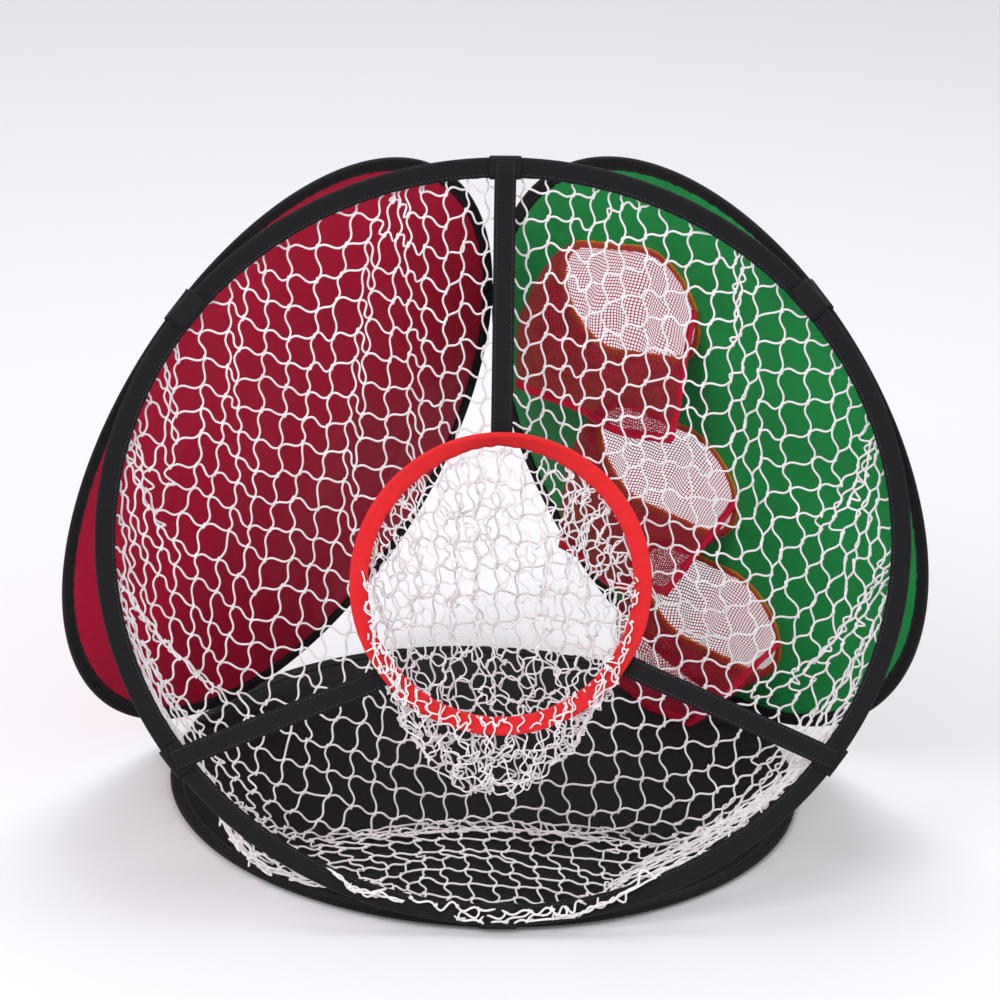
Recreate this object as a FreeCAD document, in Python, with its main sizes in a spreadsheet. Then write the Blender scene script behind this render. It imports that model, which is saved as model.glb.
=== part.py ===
import FreeCAD, Part
import math
import os

import Sketcher
from FreeCAD import Placement, Rotation, Vector

# Pop-up golf chipping net. A large sprung hoop leans back over three smaller cloth panels: red,
# green and black. The black panel lies on the floor. Each panel is tied to the front hoop at one
# point, and a small target ring hangs inside the front hoop on three webbing straps.
#
# World frame: +Z up, the open face looks along -Y, the origin is under the middle of the net.
# Hoop frame: X to the right, Y up the leaning hoop, Z out of its open face.
# Panel frames: the panel's centre, Y towards its tie on the front hoop, Z into the net.

# Driving dimensions, in millimetres and degrees.
DIMENSIONS = {
    # front hoop: an oval, because the sprung ring sags a little under its own nets
    "hoop_half_width": 310,
    "hoop_half_height": 291,
    "hoop_side_radius": 278,
    "hoop_lean": 21,
    "hoop_band": 16,
    "hoop_thick": 6,
    "hoop_tunnel": 4.6,
    "hoop_wire": 2.6,
    # cloth panels
    "panel_radius": 260,
    "panel_band": 12,
    "panel_thick": 5,
    "panel_tunnel": 4,
    "panel_wire": 2,
    "cloth_thick": 0.8,
    "cloth_gap": 0.3,
    # target ring
    "target_radius": 115,
    "target_band": 14.5,
    "target_shift": -3,
    "target_drop": 32,
    # steel details
    "wire_gap": 1,
    "ferrule_wall": 0.4,
    "ferrule_play": 0.3,
    "ferrule_length": 20,
    "target_ferrule_length": 12,
    # where each panel's fold touches the hoop, how far the panel opens and how it is twisted
    "fold_direction_red": 152.3,
    "fold_direction_green": 28,
    "fold_direction_black": 270,
    "opening_red": 60.9,
    "opening_green": 62.6,
    "opening_black": 69,
    "twist_red": 2.9,
    "twist_green": -1.3,
    "twist_black": 0,
    "hinge_setback": 8.8,
    # where the webbing that ties each panel to the hoop goes round it
    "tie_direction_red": 141.6,
    "tie_direction_green": 43.5,
    "tie_direction_black": 270,
    # where each panel is tied to its neighbours, as a direction in its own frame
    "neighbour_red": 320.7,
    "neighbour_black_left": 337.3,
    "neighbour_black_right": 206.5,
    # webbing
    "webbing_thick": 1,
    "webbing_play": 0.9,
    "tie_length": 28,
    "neighbour_tie_length": 20,
    "tab_length": 24,
    "ring_loop_length": 18,
    "strap_width": 16,
    "strap_thick": 1.6,
    "strap_play": 3,
    "strap_clearance": 2.6,
    "tab_direction_top": 91,
    "tab_direction_left": 217.9,
    "tab_direction_right": 324.1,
    "ring_direction_top": 90.7,
    "ring_direction_left": 219,
    "ring_direction_right": 328.2,
    # holes in the green panel, their binding and the mesh pockets
    "upright_green": 57.6,
    "hole_length": 164,
    "hole_height": 94,
    "hole_edge": 6,
    "hole_edge_thick": 2.4,
    "hole_side_top": -62,
    "hole_side_middle": -45,
    "hole_side_bottom": -14,
    "hole_up_top": 120,
    "hole_up_middle": -35,
    "hole_up_bottom": -164,
    "hole_tilt_top": 12,
    "hole_tilt_middle": 0,
    "hole_tilt_bottom": 0,
    "pocket_wall": 1.2,
    "pocket_lift": 1.6,
    "pocket_depth": 40,
    "pocket_fall_top": 44,
    "pocket_fall_middle": 44,
    "pocket_fall_bottom": 22,
    "seam_length": 168,
    "seam_thick": 24,
    "hem_height": 8,
    "hem_thick": 3,
    # nets
    "net_wall": 2,
    "net_inset": 3,
    "net_start": 4,
    "net_middle_depth": 90,
    "net_middle_width": 400,
    "net_middle_height": 370,
    "net_middle_sag": 28,
    "net_depth": 150,
    "net_end_width": 260,
    "net_end_height": 220,
    "net_end_sag": 45,
    "small_net_depth": 42,
    "small_net_end": 60,
    "small_net_sag": 8,
    "skirt_inner": 88,
    "skirt_outer": 160,
    "skirt_lift": 3.4,
    "skirt_thick": 8,
    "skirt_half_angle": 44,
    # distance from the black panel's tie to the middle of the whole net
    "middle_x": -0.8,
    "middle_y": 272.3,
}

doc = FreeCAD.newDocument("chipping_net")
sheet = doc.addObject("Spreadsheet::Sheet", "Dimensions")


def fill_sheet():
    for row, (alias, value) in enumerate(DIMENSIONS.items(), start=1):
        sheet.set(f"A{row}", alias)
        sheet.set(f"B{row}", str(value))
        sheet.setAlias(f"B{row}", alias)
    doc.recompute()


def size(alias):
    """The value of one driving dimension, read from the sheet."""
    return float(sheet.get(alias))


fill_sheet()


# Helpers for sketches and bodies ------------------------------------------------------------


def bind(target, prop, expression):
    """Bind a property to the sheet: names in square brackets stand for sheet aliases."""
    text = expression.replace("[", "Dimensions.").replace("]", "")
    target.setExpression(prop, text)


def evaluate(expression):
    """The value of the same kind of expression, for a sketch's starting shape."""
    text = expression
    for alias in DIMENSIONS:
        text = text.replace(f"[{alias}]", str(size(alias)))
    scratch.set("A1", "=" + text)
    scratch.recompute()
    return float(scratch.get("A1"))


scratch = doc.addObject("Spreadsheet::Sheet", "Scratch")


def new_body(label):
    body = doc.addObject("PartDesign::Body", label)
    body.Label = label
    return body


def new_sketch(body, name, plane="XY_Plane", lift=None, offset=None):
    """A sketch on one of the body's own origin planes, lifted along the plane's normal."""
    sketch = body.newObject("Sketcher::SketchObject", f"{body.Name}_{name}")
    planes = [item for item in body.Origin.OriginFeatures if item.Role == plane]
    sketch.AttachmentSupport = [(planes[0], "")]
    sketch.MapMode = "FlatFace"
    if offset is not None:
        sketch.AttachmentOffset = offset
    if lift is not None:
        bind(sketch, "AttachmentOffset.Base.z", lift)
    return sketch


def add_circle(sketch, x, y, radius):
    """A circle whose centre and radius are expressions."""
    middle = Vector(evaluate(x), evaluate(y), 0)
    index = sketch.addGeometry(Part.Circle(middle, Vector(0, 0, 1), evaluate(radius)), False)
    for kind, expression in (("DistanceX", x), ("DistanceY", y)):
        placed = Sketcher.Constraint(kind, -1, 1, index, 3, evaluate(expression))
        number = sketch.addConstraint(placed)
        bind(sketch, f"Constraints[{number}]", expression)
    number = sketch.addConstraint(Sketcher.Constraint("Radius", index, evaluate(radius)))
    bind(sketch, f"Constraints[{number}]", radius)


def add_slot(sketch, x, y, span, radius):
    """A round-ended slot along X: the span runs between the centres of its two ends."""
    cx, cy, half, r = evaluate(x), evaluate(y), evaluate(span) / 2, evaluate(radius)
    up = Vector(0, 0, 1)
    left, right = Vector(cx - half, cy, 0), Vector(cx + half, cy, 0)
    quarter = math.pi / 2
    start = sketch.addGeometry([
        Part.ArcOfCircle(Part.Circle(right, up, r), -quarter, quarter),
        Part.LineSegment(Vector(cx + half, cy + r, 0), Vector(cx - half, cy + r, 0)),
        Part.ArcOfCircle(Part.Circle(left, up, r), quarter, 3 * quarter),
        Part.LineSegment(Vector(cx - half, cy - r, 0), Vector(cx + half, cy - r, 0)),
    ], False)[0]
    arc_right, top, arc_left, bottom = start, start + 1, start + 2, start + 3
    for constraint in (
        Sketcher.Constraint("Tangent", arc_right, 2, top, 1),
        Sketcher.Constraint("Tangent", top, 2, arc_left, 1),
        Sketcher.Constraint("Tangent", arc_left, 2, bottom, 1),
        Sketcher.Constraint("Tangent", bottom, 2, arc_right, 1),
        Sketcher.Constraint("Horizontal", top),
    ):
        sketch.addConstraint(constraint)
    driven = (
        ("Radius", (arc_right,), radius),
        ("DistanceX", (arc_left, 3, arc_right, 3), span),
        ("DistanceX", (-1, 1, arc_right, 3), f"{x} + ({span}) / 2"),
        ("DistanceY", (-1, 1, arc_right, 3), y),
    )
    for kind, ends, expression in driven:
        number = sketch.addConstraint(Sketcher.Constraint(kind, *ends, evaluate(expression)))
        bind(sketch, f"Constraints[{number}]", expression)


def pad(body, sketch, length, both_ways=False):
    feature = body.newObject("PartDesign::Pad", f"{sketch.Name}_pad")
    feature.Profile = sketch
    feature.SideType = "Symmetric" if both_ways else "One side"
    bind(feature, "Length", length)
    sketch.Visibility = False
    return feature


def revolve(body, sketch, angle):
    feature = body.newObject("PartDesign::Revolution", f"{sketch.Name}_turn")
    feature.Profile = sketch
    feature.ReferenceAxis = (sketch, ["V_Axis"])
    bind(feature, "Angle", angle)
    return feature


# Sprung hoops: a fabric sleeve, the steel wire in its tunnel and the ferrule that closes the wire


def round_sleeve(label, kind):
    """A flat fabric sleeve sewn round a circular hoop, with a tunnel for the wire near its rim."""
    body = new_body(label)
    sketch = new_sketch(body, "section", "XZ_Plane")
    middle = f"[{kind}_radius] - [{kind}_band] / 2"
    add_slot(sketch, middle, "0", f"[{kind}_band] - [panel_thick]", "[panel_thick] / 2")
    add_circle(sketch, f"[{kind}_radius] - [panel_thick] / 2", "0", "[panel_tunnel] / 2")
    revolve(body, sketch, "360")
    return body


def round_wire(label, kind):
    """One turn of spring wire, with a small gap where its ends meet inside the ferrule."""
    body = new_body(label)
    sketch = new_sketch(body, "section", "XZ_Plane")
    reach = f"([{kind}_radius] - [panel_thick] / 2)"
    add_circle(sketch, reach, "0", "[panel_wire] / 2")
    revolve(body, sketch, f"360 - [wire_gap] / {reach} * 180 / 3.14159265")
    return body


def ferrule(label, wire, length):
    """A short steel tube crimped over both ends of the wire, centred on its own origin."""
    body = new_body(label)
    sketch = new_sketch(body, "section")
    bore = f"({wire} / 2 + [ferrule_play])"
    add_circle(sketch, "0", "0", bore)
    add_circle(sketch, "0", "0", f"{bore} + [ferrule_wall]")
    pad(body, sketch, length, both_ways=True)
    return body


def oval_path(body):
    """The front hoop's line: two side arcs and two flatter arcs, tangent where they meet."""
    half_width = "([hoop_half_width] - [hoop_thick] / 2)"
    half_height = "([hoop_half_height] - [hoop_thick] / 2)"
    side = "[hoop_side_radius]"
    flat = (f"(({half_width} ^ 2 + {half_height} ^ 2 - 2 * {half_width} * {side})"
            f" / (2 * ({half_height} - {side})))")
    offset = evaluate(f"{half_width} - {side}")
    drop = evaluate(f"{flat} - {half_height}")
    turn = math.atan2(drop, offset)
    sketch = new_sketch(body, "path")
    up = Vector(0, 0, 1)
    arcs = sketch.addGeometry([
        Part.ArcOfCircle(Part.Circle(Vector(offset, 0, 0), up, size("hoop_side_radius")), -turn, turn),
        Part.ArcOfCircle(Part.Circle(Vector(0, -drop, 0), up, evaluate(flat)), turn, math.pi - turn),
        Part.ArcOfCircle(Part.Circle(Vector(-offset, 0, 0), up, size("hoop_side_radius")),
                         math.pi - turn, math.pi + turn),
        Part.ArcOfCircle(Part.Circle(Vector(0, drop, 0), up, evaluate(flat)),
                         math.pi + turn, 2 * math.pi - turn),
    ], False)
    right, top, left, bottom = arcs
    for first, second in ((right, top), (top, left), (left, bottom), (bottom, right)):
        sketch.addConstraint(Sketcher.Constraint("Tangent", first, 2, second, 1))
    sketch.addConstraint(Sketcher.Constraint("PointOnObject", right, 3, -1))
    sketch.addConstraint(Sketcher.Constraint("PointOnObject", left, 3, -1))
    driven = (
        ("Radius", (right,), side),
        ("Radius", (left,), side),
        ("Radius", (top,), flat),
        ("Radius", (bottom,), flat),
        ("DistanceX", (-1, 1, right, 3), f"{half_width} - {side}"),
        ("DistanceX", (left, 3, -1, 1), f"{half_width} - {side}"),
    )
    for kind, ends, expression in driven:
        number = sketch.addConstraint(Sketcher.Constraint(kind, *ends, evaluate(expression)))
        bind(sketch, f"Constraints[{number}]", expression)
    return sketch


def sweep(body, kind, profile, path):
    feature = body.newObject(f"PartDesign::{kind}Pipe", f"{profile.Name}_sweep")
    feature.Profile = profile
    feature.Spine = (path, [f"Edge{number}" for number in (1, 2, 3, 4)])
    return feature


def hoop_sleeve():
    body = new_body("hoop_sleeve")
    path = oval_path(body)
    section = new_sketch(body, "section", "XZ_Plane")
    middle = "[hoop_half_width] - [hoop_band] / 2"
    add_slot(section, middle, "0", "[hoop_band] - [hoop_thick]", "[hoop_thick] / 2")
    sweep(body, "Additive", section, path)
    tunnel = new_sketch(body, "tunnel", "XZ_Plane")
    add_circle(tunnel, "[hoop_half_width] - [hoop_thick] / 2", "0", "[hoop_tunnel] / 2")
    sweep(body, "Subtractive", tunnel, path)
    return body


def hoop_wire():
    body = new_body("hoop_wire")
    path = oval_path(body)
    section = new_sketch(body, "section", "XZ_Plane")
    add_circle(section, "[hoop_half_width] - [hoop_thick] / 2", "0", "[hoop_wire] / 2")
    sweep(body, "Additive", section, path)
    gap = body.newObject("PartDesign::SubtractiveBox", "hoop_wire_gap")
    bind(gap, "Length", "[wire_gap]")
    bind(gap, "Width", "[hoop_thick]")
    bind(gap, "Height", "[hoop_thick]")
    bind(gap, "AttachmentOffset.Base.x", "-[wire_gap] / 2")
    bind(gap, "AttachmentOffset.Base.y", "-[hoop_half_height]")
    bind(gap, "AttachmentOffset.Base.z", "-[hoop_thick] / 2")
    return body


# Webbing --------------------------------------------------------------------------------------


def webbing_loop(label, band, thick, length):
    """A short flat loop of webbing round a sleeve. Its length runs along Z, the band along X."""
    body = new_body(label)
    sketch = new_sketch(body, "section")
    inside = f"({thick} / 2 + [webbing_play] / 2)"
    add_slot(sketch, "0", "0", f"{band} - {thick}", inside)
    add_slot(sketch, "0", "0", f"{band} - {thick}", f"{inside} + [webbing_thick]")
    pad(body, sketch, length, both_ways=True)
    return body


def strap(label, length):
    """A flat strap centred on its own origin, with its length along Y."""
    box = doc.addObject("Part::Box", label)
    box.Label = label
    bind(box, "Length", "[strap_width]")
    bind(box, "Height", "[strap_thick]")
    box.Width = length
    return box


# Cloth ----------------------------------------------------------------------------------------


def cloth_disc(label, ties, holes=()):
    """A flat round cloth that fills its binding, notched at each tie and open at each bound hole."""
    body = new_body(label)
    sketch = new_sketch(body, "outline", lift="-[cloth_thick] / 2")
    add_circle(sketch, "0", "0", "[panel_radius] - [panel_band] - [cloth_gap]")
    pad(body, sketch, "[cloth_thick]")
    for number, direction in enumerate(ties):
        turned = Placement(Vector(), Rotation(Vector(0, 0, 1), direction - 90))
        notch = new_sketch(body, f"notch_{number}", offset=turned)
        reach = "[panel_radius] - [panel_band] - [webbing_play] / 2 - [webbing_thick] / 2"
        add_slot(notch, "0", reach, "[tie_length]", "[webbing_thick] / 2 + [webbing_play]")
        cut_through(body, notch)
    for hole in holes:
        opening = new_sketch(body, f"hole_{hole}", offset=hole_place(hole))
        span = "[hole_length] - [hole_height]"
        add_slot(opening, "0", "0", span, "[hole_height] / 2 + [cloth_gap]")
        cut_through(body, opening)
    return body


def cut_through(body, sketch):
    feature = body.newObject("PartDesign::Pocket", f"{sketch.Name}_cut")
    feature.Profile = sketch
    feature.SideType = "Symmetric"
    bind(feature, "Length", "[panel_thick]")


def hole_place(hole):
    """A hole's place in its panel's frame: upright axes first, then the hole's own tilt."""
    upright = Placement(Vector(), Rotation(Vector(0, 0, 1), size("upright_green")))
    center = Vector(size(f"hole_side_{hole}"), size(f"hole_up_{hole}"), 0)
    return upright * Placement(center, Rotation(Vector(0, 0, 1), size(f"hole_tilt_{hole}")))


def hole_binding(hole):
    body = new_body(f"hole_binding_{hole}")
    sketch = new_sketch(body, "outline", lift="-[hole_edge_thick] / 2")
    span = "[hole_length] - [hole_height]"
    add_slot(sketch, "0", "0", span, "[hole_height] / 2")
    add_slot(sketch, "0", "0", span, "[hole_height] / 2 - [hole_edge]")
    pad(body, sketch, "[hole_edge_thick]")
    return body


def bag_loft(body, name, kind, shrink, depth, fall):
    """Loft from the hole's outline to the bag's lower end, which hangs below it on the net's side."""
    mouth = new_sketch(body, f"{name}_mouth", lift="[pocket_lift]")
    span = "[hole_length] - [hole_height]"
    add_slot(mouth, "0", "0", span, f"[hole_height] / 2 - {shrink}")
    seam = new_sketch(body, f"{name}_seam", lift=depth)
    drop = f"[seam_thick] / 2 - [hole_height] / 2 - {fall}"
    add_slot(seam, "0", drop, "[seam_length] - [seam_thick]", f"[seam_thick] / 2 - 2 * {shrink}")
    feature = body.newObject(f"PartDesign::{kind}Loft", f"{body.Name}_{name}")
    feature.Profile = mouth
    feature.Sections = [seam]
    feature.Ruled = False
    return feature


def mesh_pocket(hole):
    """A thin-walled bag, open at the hole and closed along its bottom seam."""
    body = new_body(f"pocket_{hole}")
    fall = f"[pocket_fall_{hole}]"
    depth = "[pocket_depth]"
    bag_loft(body, "outside", "Additive", "0", depth, fall)
    bag_loft(body, "inside", "Subtractive", "[pocket_wall]", f"{depth} - [pocket_wall]", fall)
    return body


def pocket_hem(hole):
    """The tape along a pocket's seam, just below the bag's edge and square to the panel."""
    body = new_body(f"hem_{hole}")
    sketch = new_sketch(body, "section", "XZ_Plane")
    add_slot(sketch, "0", "0", "[seam_length] - [hem_thick]", "[hem_thick] / 2")
    pad(body, sketch, "[hem_height]", both_ways=True)
    return body


def hem_place(hole):
    """A hem's place in its hole's frame."""
    edge = size("hole_height") / 2 + size(f"pocket_fall_{hole}")
    middle = edge + size("cloth_gap") + size("hem_height") / 2
    return Placement(Vector(0, -middle, size("pocket_depth") - size("hem_thick") / 2), Rotation())


# Nets -----------------------------------------------------------------------------------------


def ellipse_wire(half_width, half_height, drop, depth):
    """An ellipse in a plane behind a ring, lowered by the net's sag."""
    plane = Placement(Vector(0, -drop, -depth), Rotation())
    if half_height > half_width:
        ellipse = Part.Ellipse(Vector(), half_height, half_width)
        plane = plane * Placement(Vector(), Rotation(Vector(0, 0, 1), 90))
    elif half_width > half_height:
        ellipse = Part.Ellipse(Vector(), half_width, half_height)
    else:
        ellipse = Part.Circle(Vector(), Vector(0, 0, 1), half_width)
    edge = ellipse.toShape()
    edge.Placement = plane
    return Part.Wire([edge])


def bowl(sections):
    """A thin bowl of net: each section is half width, half height, drop and depth."""
    wall = size("net_wall")
    outside = Part.makeLoft([ellipse_wire(*section) for section in sections], True, True)
    inner = [(a - wall, b - wall, drop, depth) for a, b, drop, depth in sections]
    last = inner[-1]
    inner[-1] = (last[0], last[1], last[2], last[3] - wall)
    inside = Part.makeLoft([ellipse_wire(*section) for section in inner], True, True)
    return outside.cut(inside)


def catch_net():
    """The big loose net: a shallow bag behind the front hoop that sags towards the black panel."""
    half_width = size("hoop_half_width") - size("hoop_band") - size("net_inset")
    half_height = size("hoop_half_height") - size("hoop_band") - size("net_inset")
    sections = (
        (half_width, half_height, 0, size("net_start")),
        (size("net_middle_width") / 2, size("net_middle_height") / 2, size("net_middle_sag"),
         size("net_middle_depth")),
        (size("net_end_width") / 2, size("net_end_height") / 2, size("net_end_sag"), size("net_depth")),
    )
    feature = doc.addObject("Part::Feature", "catch_net")
    feature.Label = "catch_net"
    feature.Shape = bowl(sections)
    return feature


def target_net():
    """The target's own small net: a bowl behind the ring and the slack that spills over its rim."""
    mouth = size("target_radius") - size("target_band") - size("net_inset")
    end = size("small_net_end")
    sections = (
        (mouth, mouth, 0, size("net_start")),
        (end, end, size("small_net_sag"), size("small_net_depth")),
    )
    feature = doc.addObject("Part::Feature", "target_net")
    feature.Label = "target_net"
    feature.Shape = bowl(sections)
    return feature


def net_skirt():
    """The slack of the small net: a curved apron in front of the ring's lower rim."""
    body = new_body("target_net_slack")
    sketch = new_sketch(body, "outline", lift="[skirt_lift]")
    half = math.radians(size("skirt_half_angle"))
    start, end = -math.pi / 2 - half, -math.pi / 2 + half
    up = Vector(0, 0, 1)
    inner_radius, outer_radius = size("skirt_inner"), size("skirt_outer")

    def rim(radius, angle):
        return Vector(radius * math.cos(angle), radius * math.sin(angle), 0)

    inner, left, outer, right = sketch.addGeometry([
        Part.ArcOfCircle(Part.Circle(Vector(), up, inner_radius), start, end),
        Part.LineSegment(rim(inner_radius, start), rim(outer_radius, start)),
        Part.ArcOfCircle(Part.Circle(Vector(), up, outer_radius), start, end),
        Part.LineSegment(rim(inner_radius, end), rim(outer_radius, end)),
    ], False)
    for constraint in (
        Sketcher.Constraint("Coincident", inner, 3, -1, 1),
        Sketcher.Constraint("Coincident", outer, 3, -1, 1),
        Sketcher.Constraint("Coincident", left, 1, inner, 1),
        Sketcher.Constraint("Coincident", left, 2, outer, 1),
        Sketcher.Constraint("Coincident", right, 1, inner, 2),
        Sketcher.Constraint("Coincident", right, 2, outer, 2),
        Sketcher.Constraint("Symmetric", outer, 1, outer, 2, -2),
        Sketcher.Constraint("Symmetric", inner, 1, inner, 2, -2),
    ):
        sketch.addConstraint(constraint)
    chord = "2 * [skirt_outer] * sin([skirt_half_angle] * 1 deg)"
    inner_chord = "2 * [skirt_inner] * sin([skirt_half_angle] * 1 deg)"
    driven = (
        ("Radius", (inner,), "[skirt_inner]"),
        ("Radius", (outer,), "[skirt_outer]"),
        ("DistanceX", (outer, 1, outer, 2), chord),
        ("DistanceX", (inner, 1, inner, 2), inner_chord),
    )
    for kind, ends, expression in driven:
        number = sketch.addConstraint(Sketcher.Constraint(kind, *ends, evaluate(expression)))
        bind(sketch, f"Constraints[{number}]", expression)
    pad(body, sketch, "[skirt_thick]")
    return body


# Places ---------------------------------------------------------------------------------------


def turn_about(axis, degrees, base=Vector(0, 0, 0)):
    return Placement(base, Rotation(axis, degrees))


def frame_from(origin, x_axis, y_axis):
    """A placement from its origin and two square axes."""
    z_axis = x_axis.cross(y_axis)
    return Placement(origin, Rotation(x_axis, y_axis, z_axis, "ZXY"))


def oval_point(direction, inset):
    """Where the hoop's edge, moved inwards by inset, faces the given direction."""
    half_width = size("hoop_half_width") - size("hoop_thick") / 2
    half_height = size("hoop_half_height") - size("hoop_thick") / 2
    side = size("hoop_side_radius")
    offset = half_width - side
    flat = (half_width ** 2 + half_height ** 2 - 2 * half_width * side) / (2 * (half_height - side))
    drop = flat - half_height
    angle = math.radians(direction)
    x, y = math.cos(angle), math.sin(angle)
    reach = size("hoop_thick") / 2 - inset
    if math.atan2(abs(y), abs(x)) < math.atan2(drop, offset):
        return Vector(math.copysign(offset, x) + (side + reach) * x, (side + reach) * y, 0)
    return Vector((flat + reach) * x, (flat + reach) * y - math.copysign(drop, y), 0)


def panel_in_hoop(name):
    """The placement of a panel in the hoop's frame, and the fold's axis point and direction."""
    angle = math.radians(size(f"fold_direction_{name}"))
    opening = math.radians(size(f"opening_{name}"))
    outward = Vector(math.cos(angle), math.sin(angle), 0)
    along = Vector(-math.sin(angle), math.cos(angle), 0)
    front = Vector(0, 0, 1)
    hinge = oval_point(size(f"fold_direction_{name}"), 0) - front * size("hinge_setback")
    inward = outward * -math.cos(opening) - front * math.sin(opening)
    along = Rotation(inward, size(f"twist_{name}")).multVec(along)
    center = hinge + inward * (size("panel_radius") - size("panel_thick") / 2)
    return frame_from(center, along * -1, inward * -1), hinge


def tie_on_panel(name):
    """The direction, in a panel's own frame, of the place where the hoop's tie reaches it."""
    place, _ = panel_in_hoop(name)
    point = place.inverse().multVec(oval_point(size(f"tie_direction_{name}"), 0))
    return math.degrees(math.atan2(point.y, point.x))


def around_ring(direction, radius):
    """A loop's place on a round binding: its length along the ring and its band square to it."""
    angle = math.radians(direction)
    outward = Vector(math.cos(angle), math.sin(angle), 0)
    return frame_from(outward * radius, outward, Vector(0, 0, -1))


def around_hoop(direction):
    """The same for a place on the front hoop."""
    angle = math.radians(direction)
    outward = Vector(math.cos(angle), math.sin(angle), 0)
    return frame_from(oval_point(direction, size("hoop_band") / 2), outward, Vector(0, 0, -1))


hoop_upright = turn_about(Vector(1, 0, 0), 90 - size("hoop_lean"))
black_in_hoop, black_hinge = panel_in_hoop("black")
red_in_hoop, red_hinge = panel_in_hoop("red")
green_in_hoop, green_hinge = panel_in_hoop("green")
resting_height = size("panel_thick") / 2 + size("webbing_play") / 2 + size("webbing_thick")
tie_place = Vector(-size("middle_x"), -size("middle_y"), resting_height)
hoop = Placement(tie_place - hoop_upright.multVec(black_hinge), hoop_upright.Rotation)
black_panel = hoop * black_in_hoop
red_panel = hoop * red_in_hoop
green_panel = hoop * green_in_hoop
target = hoop * Placement(Vector(size("target_shift"), -size("target_drop"), 0), Rotation())


# Assembly -------------------------------------------------------------------------------------

nodes = []


def add(item, placement):
    item.Placement = placement
    nodes.append(item)


def build_ring(name, place, kind, length):
    """A round sprung ring: its sleeve, its wire and the ferrule at the middle of its far side."""
    sleeve = "sleeve" if kind == "target" else "binding"
    add(round_sleeve(f"{name}_{sleeve}", kind), place)
    add(round_wire(f"{name}_wire", kind), place)
    tube = around_ring(0, size(f"{kind}_radius") - size("panel_thick") / 2)
    add(ferrule(f"{name}_ferrule", "[panel_wire]", length), place * tube)


def build_panel(name, place, neighbours=(), holes=()):
    build_ring(name, place, "panel", "[ferrule_length]")
    direction = tie_on_panel(name)
    ties = [direction] + [size(neighbour) for neighbour in neighbours]
    add(cloth_disc(f"{name}_cloth", ties, holes), place)
    tie = webbing_loop(f"{name}_tie", "[panel_band]", "[panel_thick]", "[tie_length]")
    add(tie, place * around_ring(direction, size("panel_radius") - size("panel_band") / 2))


def build_neighbour_tie(label, place, direction):
    tie = webbing_loop(label, "[panel_band]", "[panel_thick]", "[neighbour_tie_length]")
    add(tie, place * around_ring(size(direction), size("panel_radius") - size("panel_band") / 2))


def build_pocket(hole, place):
    there = place * hole_place(hole)
    add(hole_binding(hole), there)
    add(mesh_pocket(hole), there)
    add(pocket_hem(hole), there * hem_place(hole))


def build_hoop():
    add(hoop_sleeve(), hoop)
    add(hoop_wire(), hoop)
    outward = Vector(0, -1, 0)
    tube = frame_from(oval_point(270, size("hoop_thick") / 2), outward, Vector(0, 0, -1))
    add(ferrule("hoop_ferrule", "[hoop_wire]", "[ferrule_length]"), hoop * tube)
    for name in ("red", "green", "black"):
        loop = webbing_loop(f"hoop_tie_{name}", "[hoop_band]", "[hoop_thick]", "[tie_length]")
        add(loop, hoop * around_hoop(size(f"tie_direction_{name}")))


def build_strap(name):
    """One strap in the hoop's plane: a loop on the hoop, a loop on the ring and the strap between."""
    tab = webbing_loop(f"strap_tab_{name}", "[hoop_band]", "[hoop_thick]", "[tab_length]")
    add(tab, hoop * around_hoop(size(f"tab_direction_{name}")))
    angle = size(f"ring_direction_{name}")
    ring_loop = webbing_loop(f"ring_loop_{name}", "[target_band]", "[panel_thick]", "[ring_loop_length]")
    add(ring_loop, target * around_ring(angle, size("target_radius") - size("target_band") / 2))
    cover = size("webbing_thick") + size("webbing_play") / 2
    ring_center = Vector(size("target_shift"), -size("target_drop"), 0)
    outward = Vector(math.cos(math.radians(angle)), math.sin(math.radians(angle)), 0)
    low = ring_center + outward * (size("target_radius") + cover)
    high = oval_point(size(f"tab_direction_{name}"), size("hoop_band") + cover)
    run = high - low
    line = run.normalize()
    near_gap, far_gap = size("strap_play"), size("strap_clearance")
    if name == "top":
        near_gap, far_gap = far_gap, near_gap
    start = low + line * near_gap
    length = (high - low).Length - near_gap - far_gap
    piece = strap(f"strap_{name}", length)
    corner = Placement(Vector(-size("strap_width") / 2, 0, -size("strap_thick") / 2), Rotation())
    across = line.cross(Vector(0, 0, 1))
    add(piece, hoop * frame_from(start, across, line) * corner)


build_panel("black", black_panel, ("neighbour_black_left", "neighbour_black_right"))
build_neighbour_tie("tie_black_red", black_panel, "neighbour_black_left")
build_neighbour_tie("tie_black_green", black_panel, "neighbour_black_right")
build_hoop()
for strap_name in ("top", "left", "right"):
    build_strap(strap_name)
add(catch_net(), hoop)
build_panel("red", red_panel, ("neighbour_red",))
build_neighbour_tie("tie_red_green", red_panel, "neighbour_red")
HOLES = ("top", "middle", "bottom")
build_panel("green", green_panel, holes=HOLES)
for hole_name in HOLES:
    build_pocket(hole_name, green_panel)
build_ring("target", target, "target", "[target_ferrule_length]")
add(target_net(), target)
add(net_skirt(), target)
doc.recompute()


# Checks and export ----------------------------------------------------------------------------


def check_document():
    for item in doc.Objects:
        if "Invalid" in item.State or "Error" in item.State:
            raise RuntimeError(f"{item.Name} did not compute: {item.State}")
    for item in nodes:
        if item.Shape.isNull() or not item.Shape.isValid():
            raise RuntimeError(f"{item.Label} has no valid shape")


check_document()
os.makedirs("parts", exist_ok=True)
for item in nodes:
    item.Shape.exportStep(f"parts/{item.Label}.step")
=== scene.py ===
import math

import bpy
import numpy as np
from mathutils import Matrix, Vector
from mathutils.geometry import delaunay_2d_cdt


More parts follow.
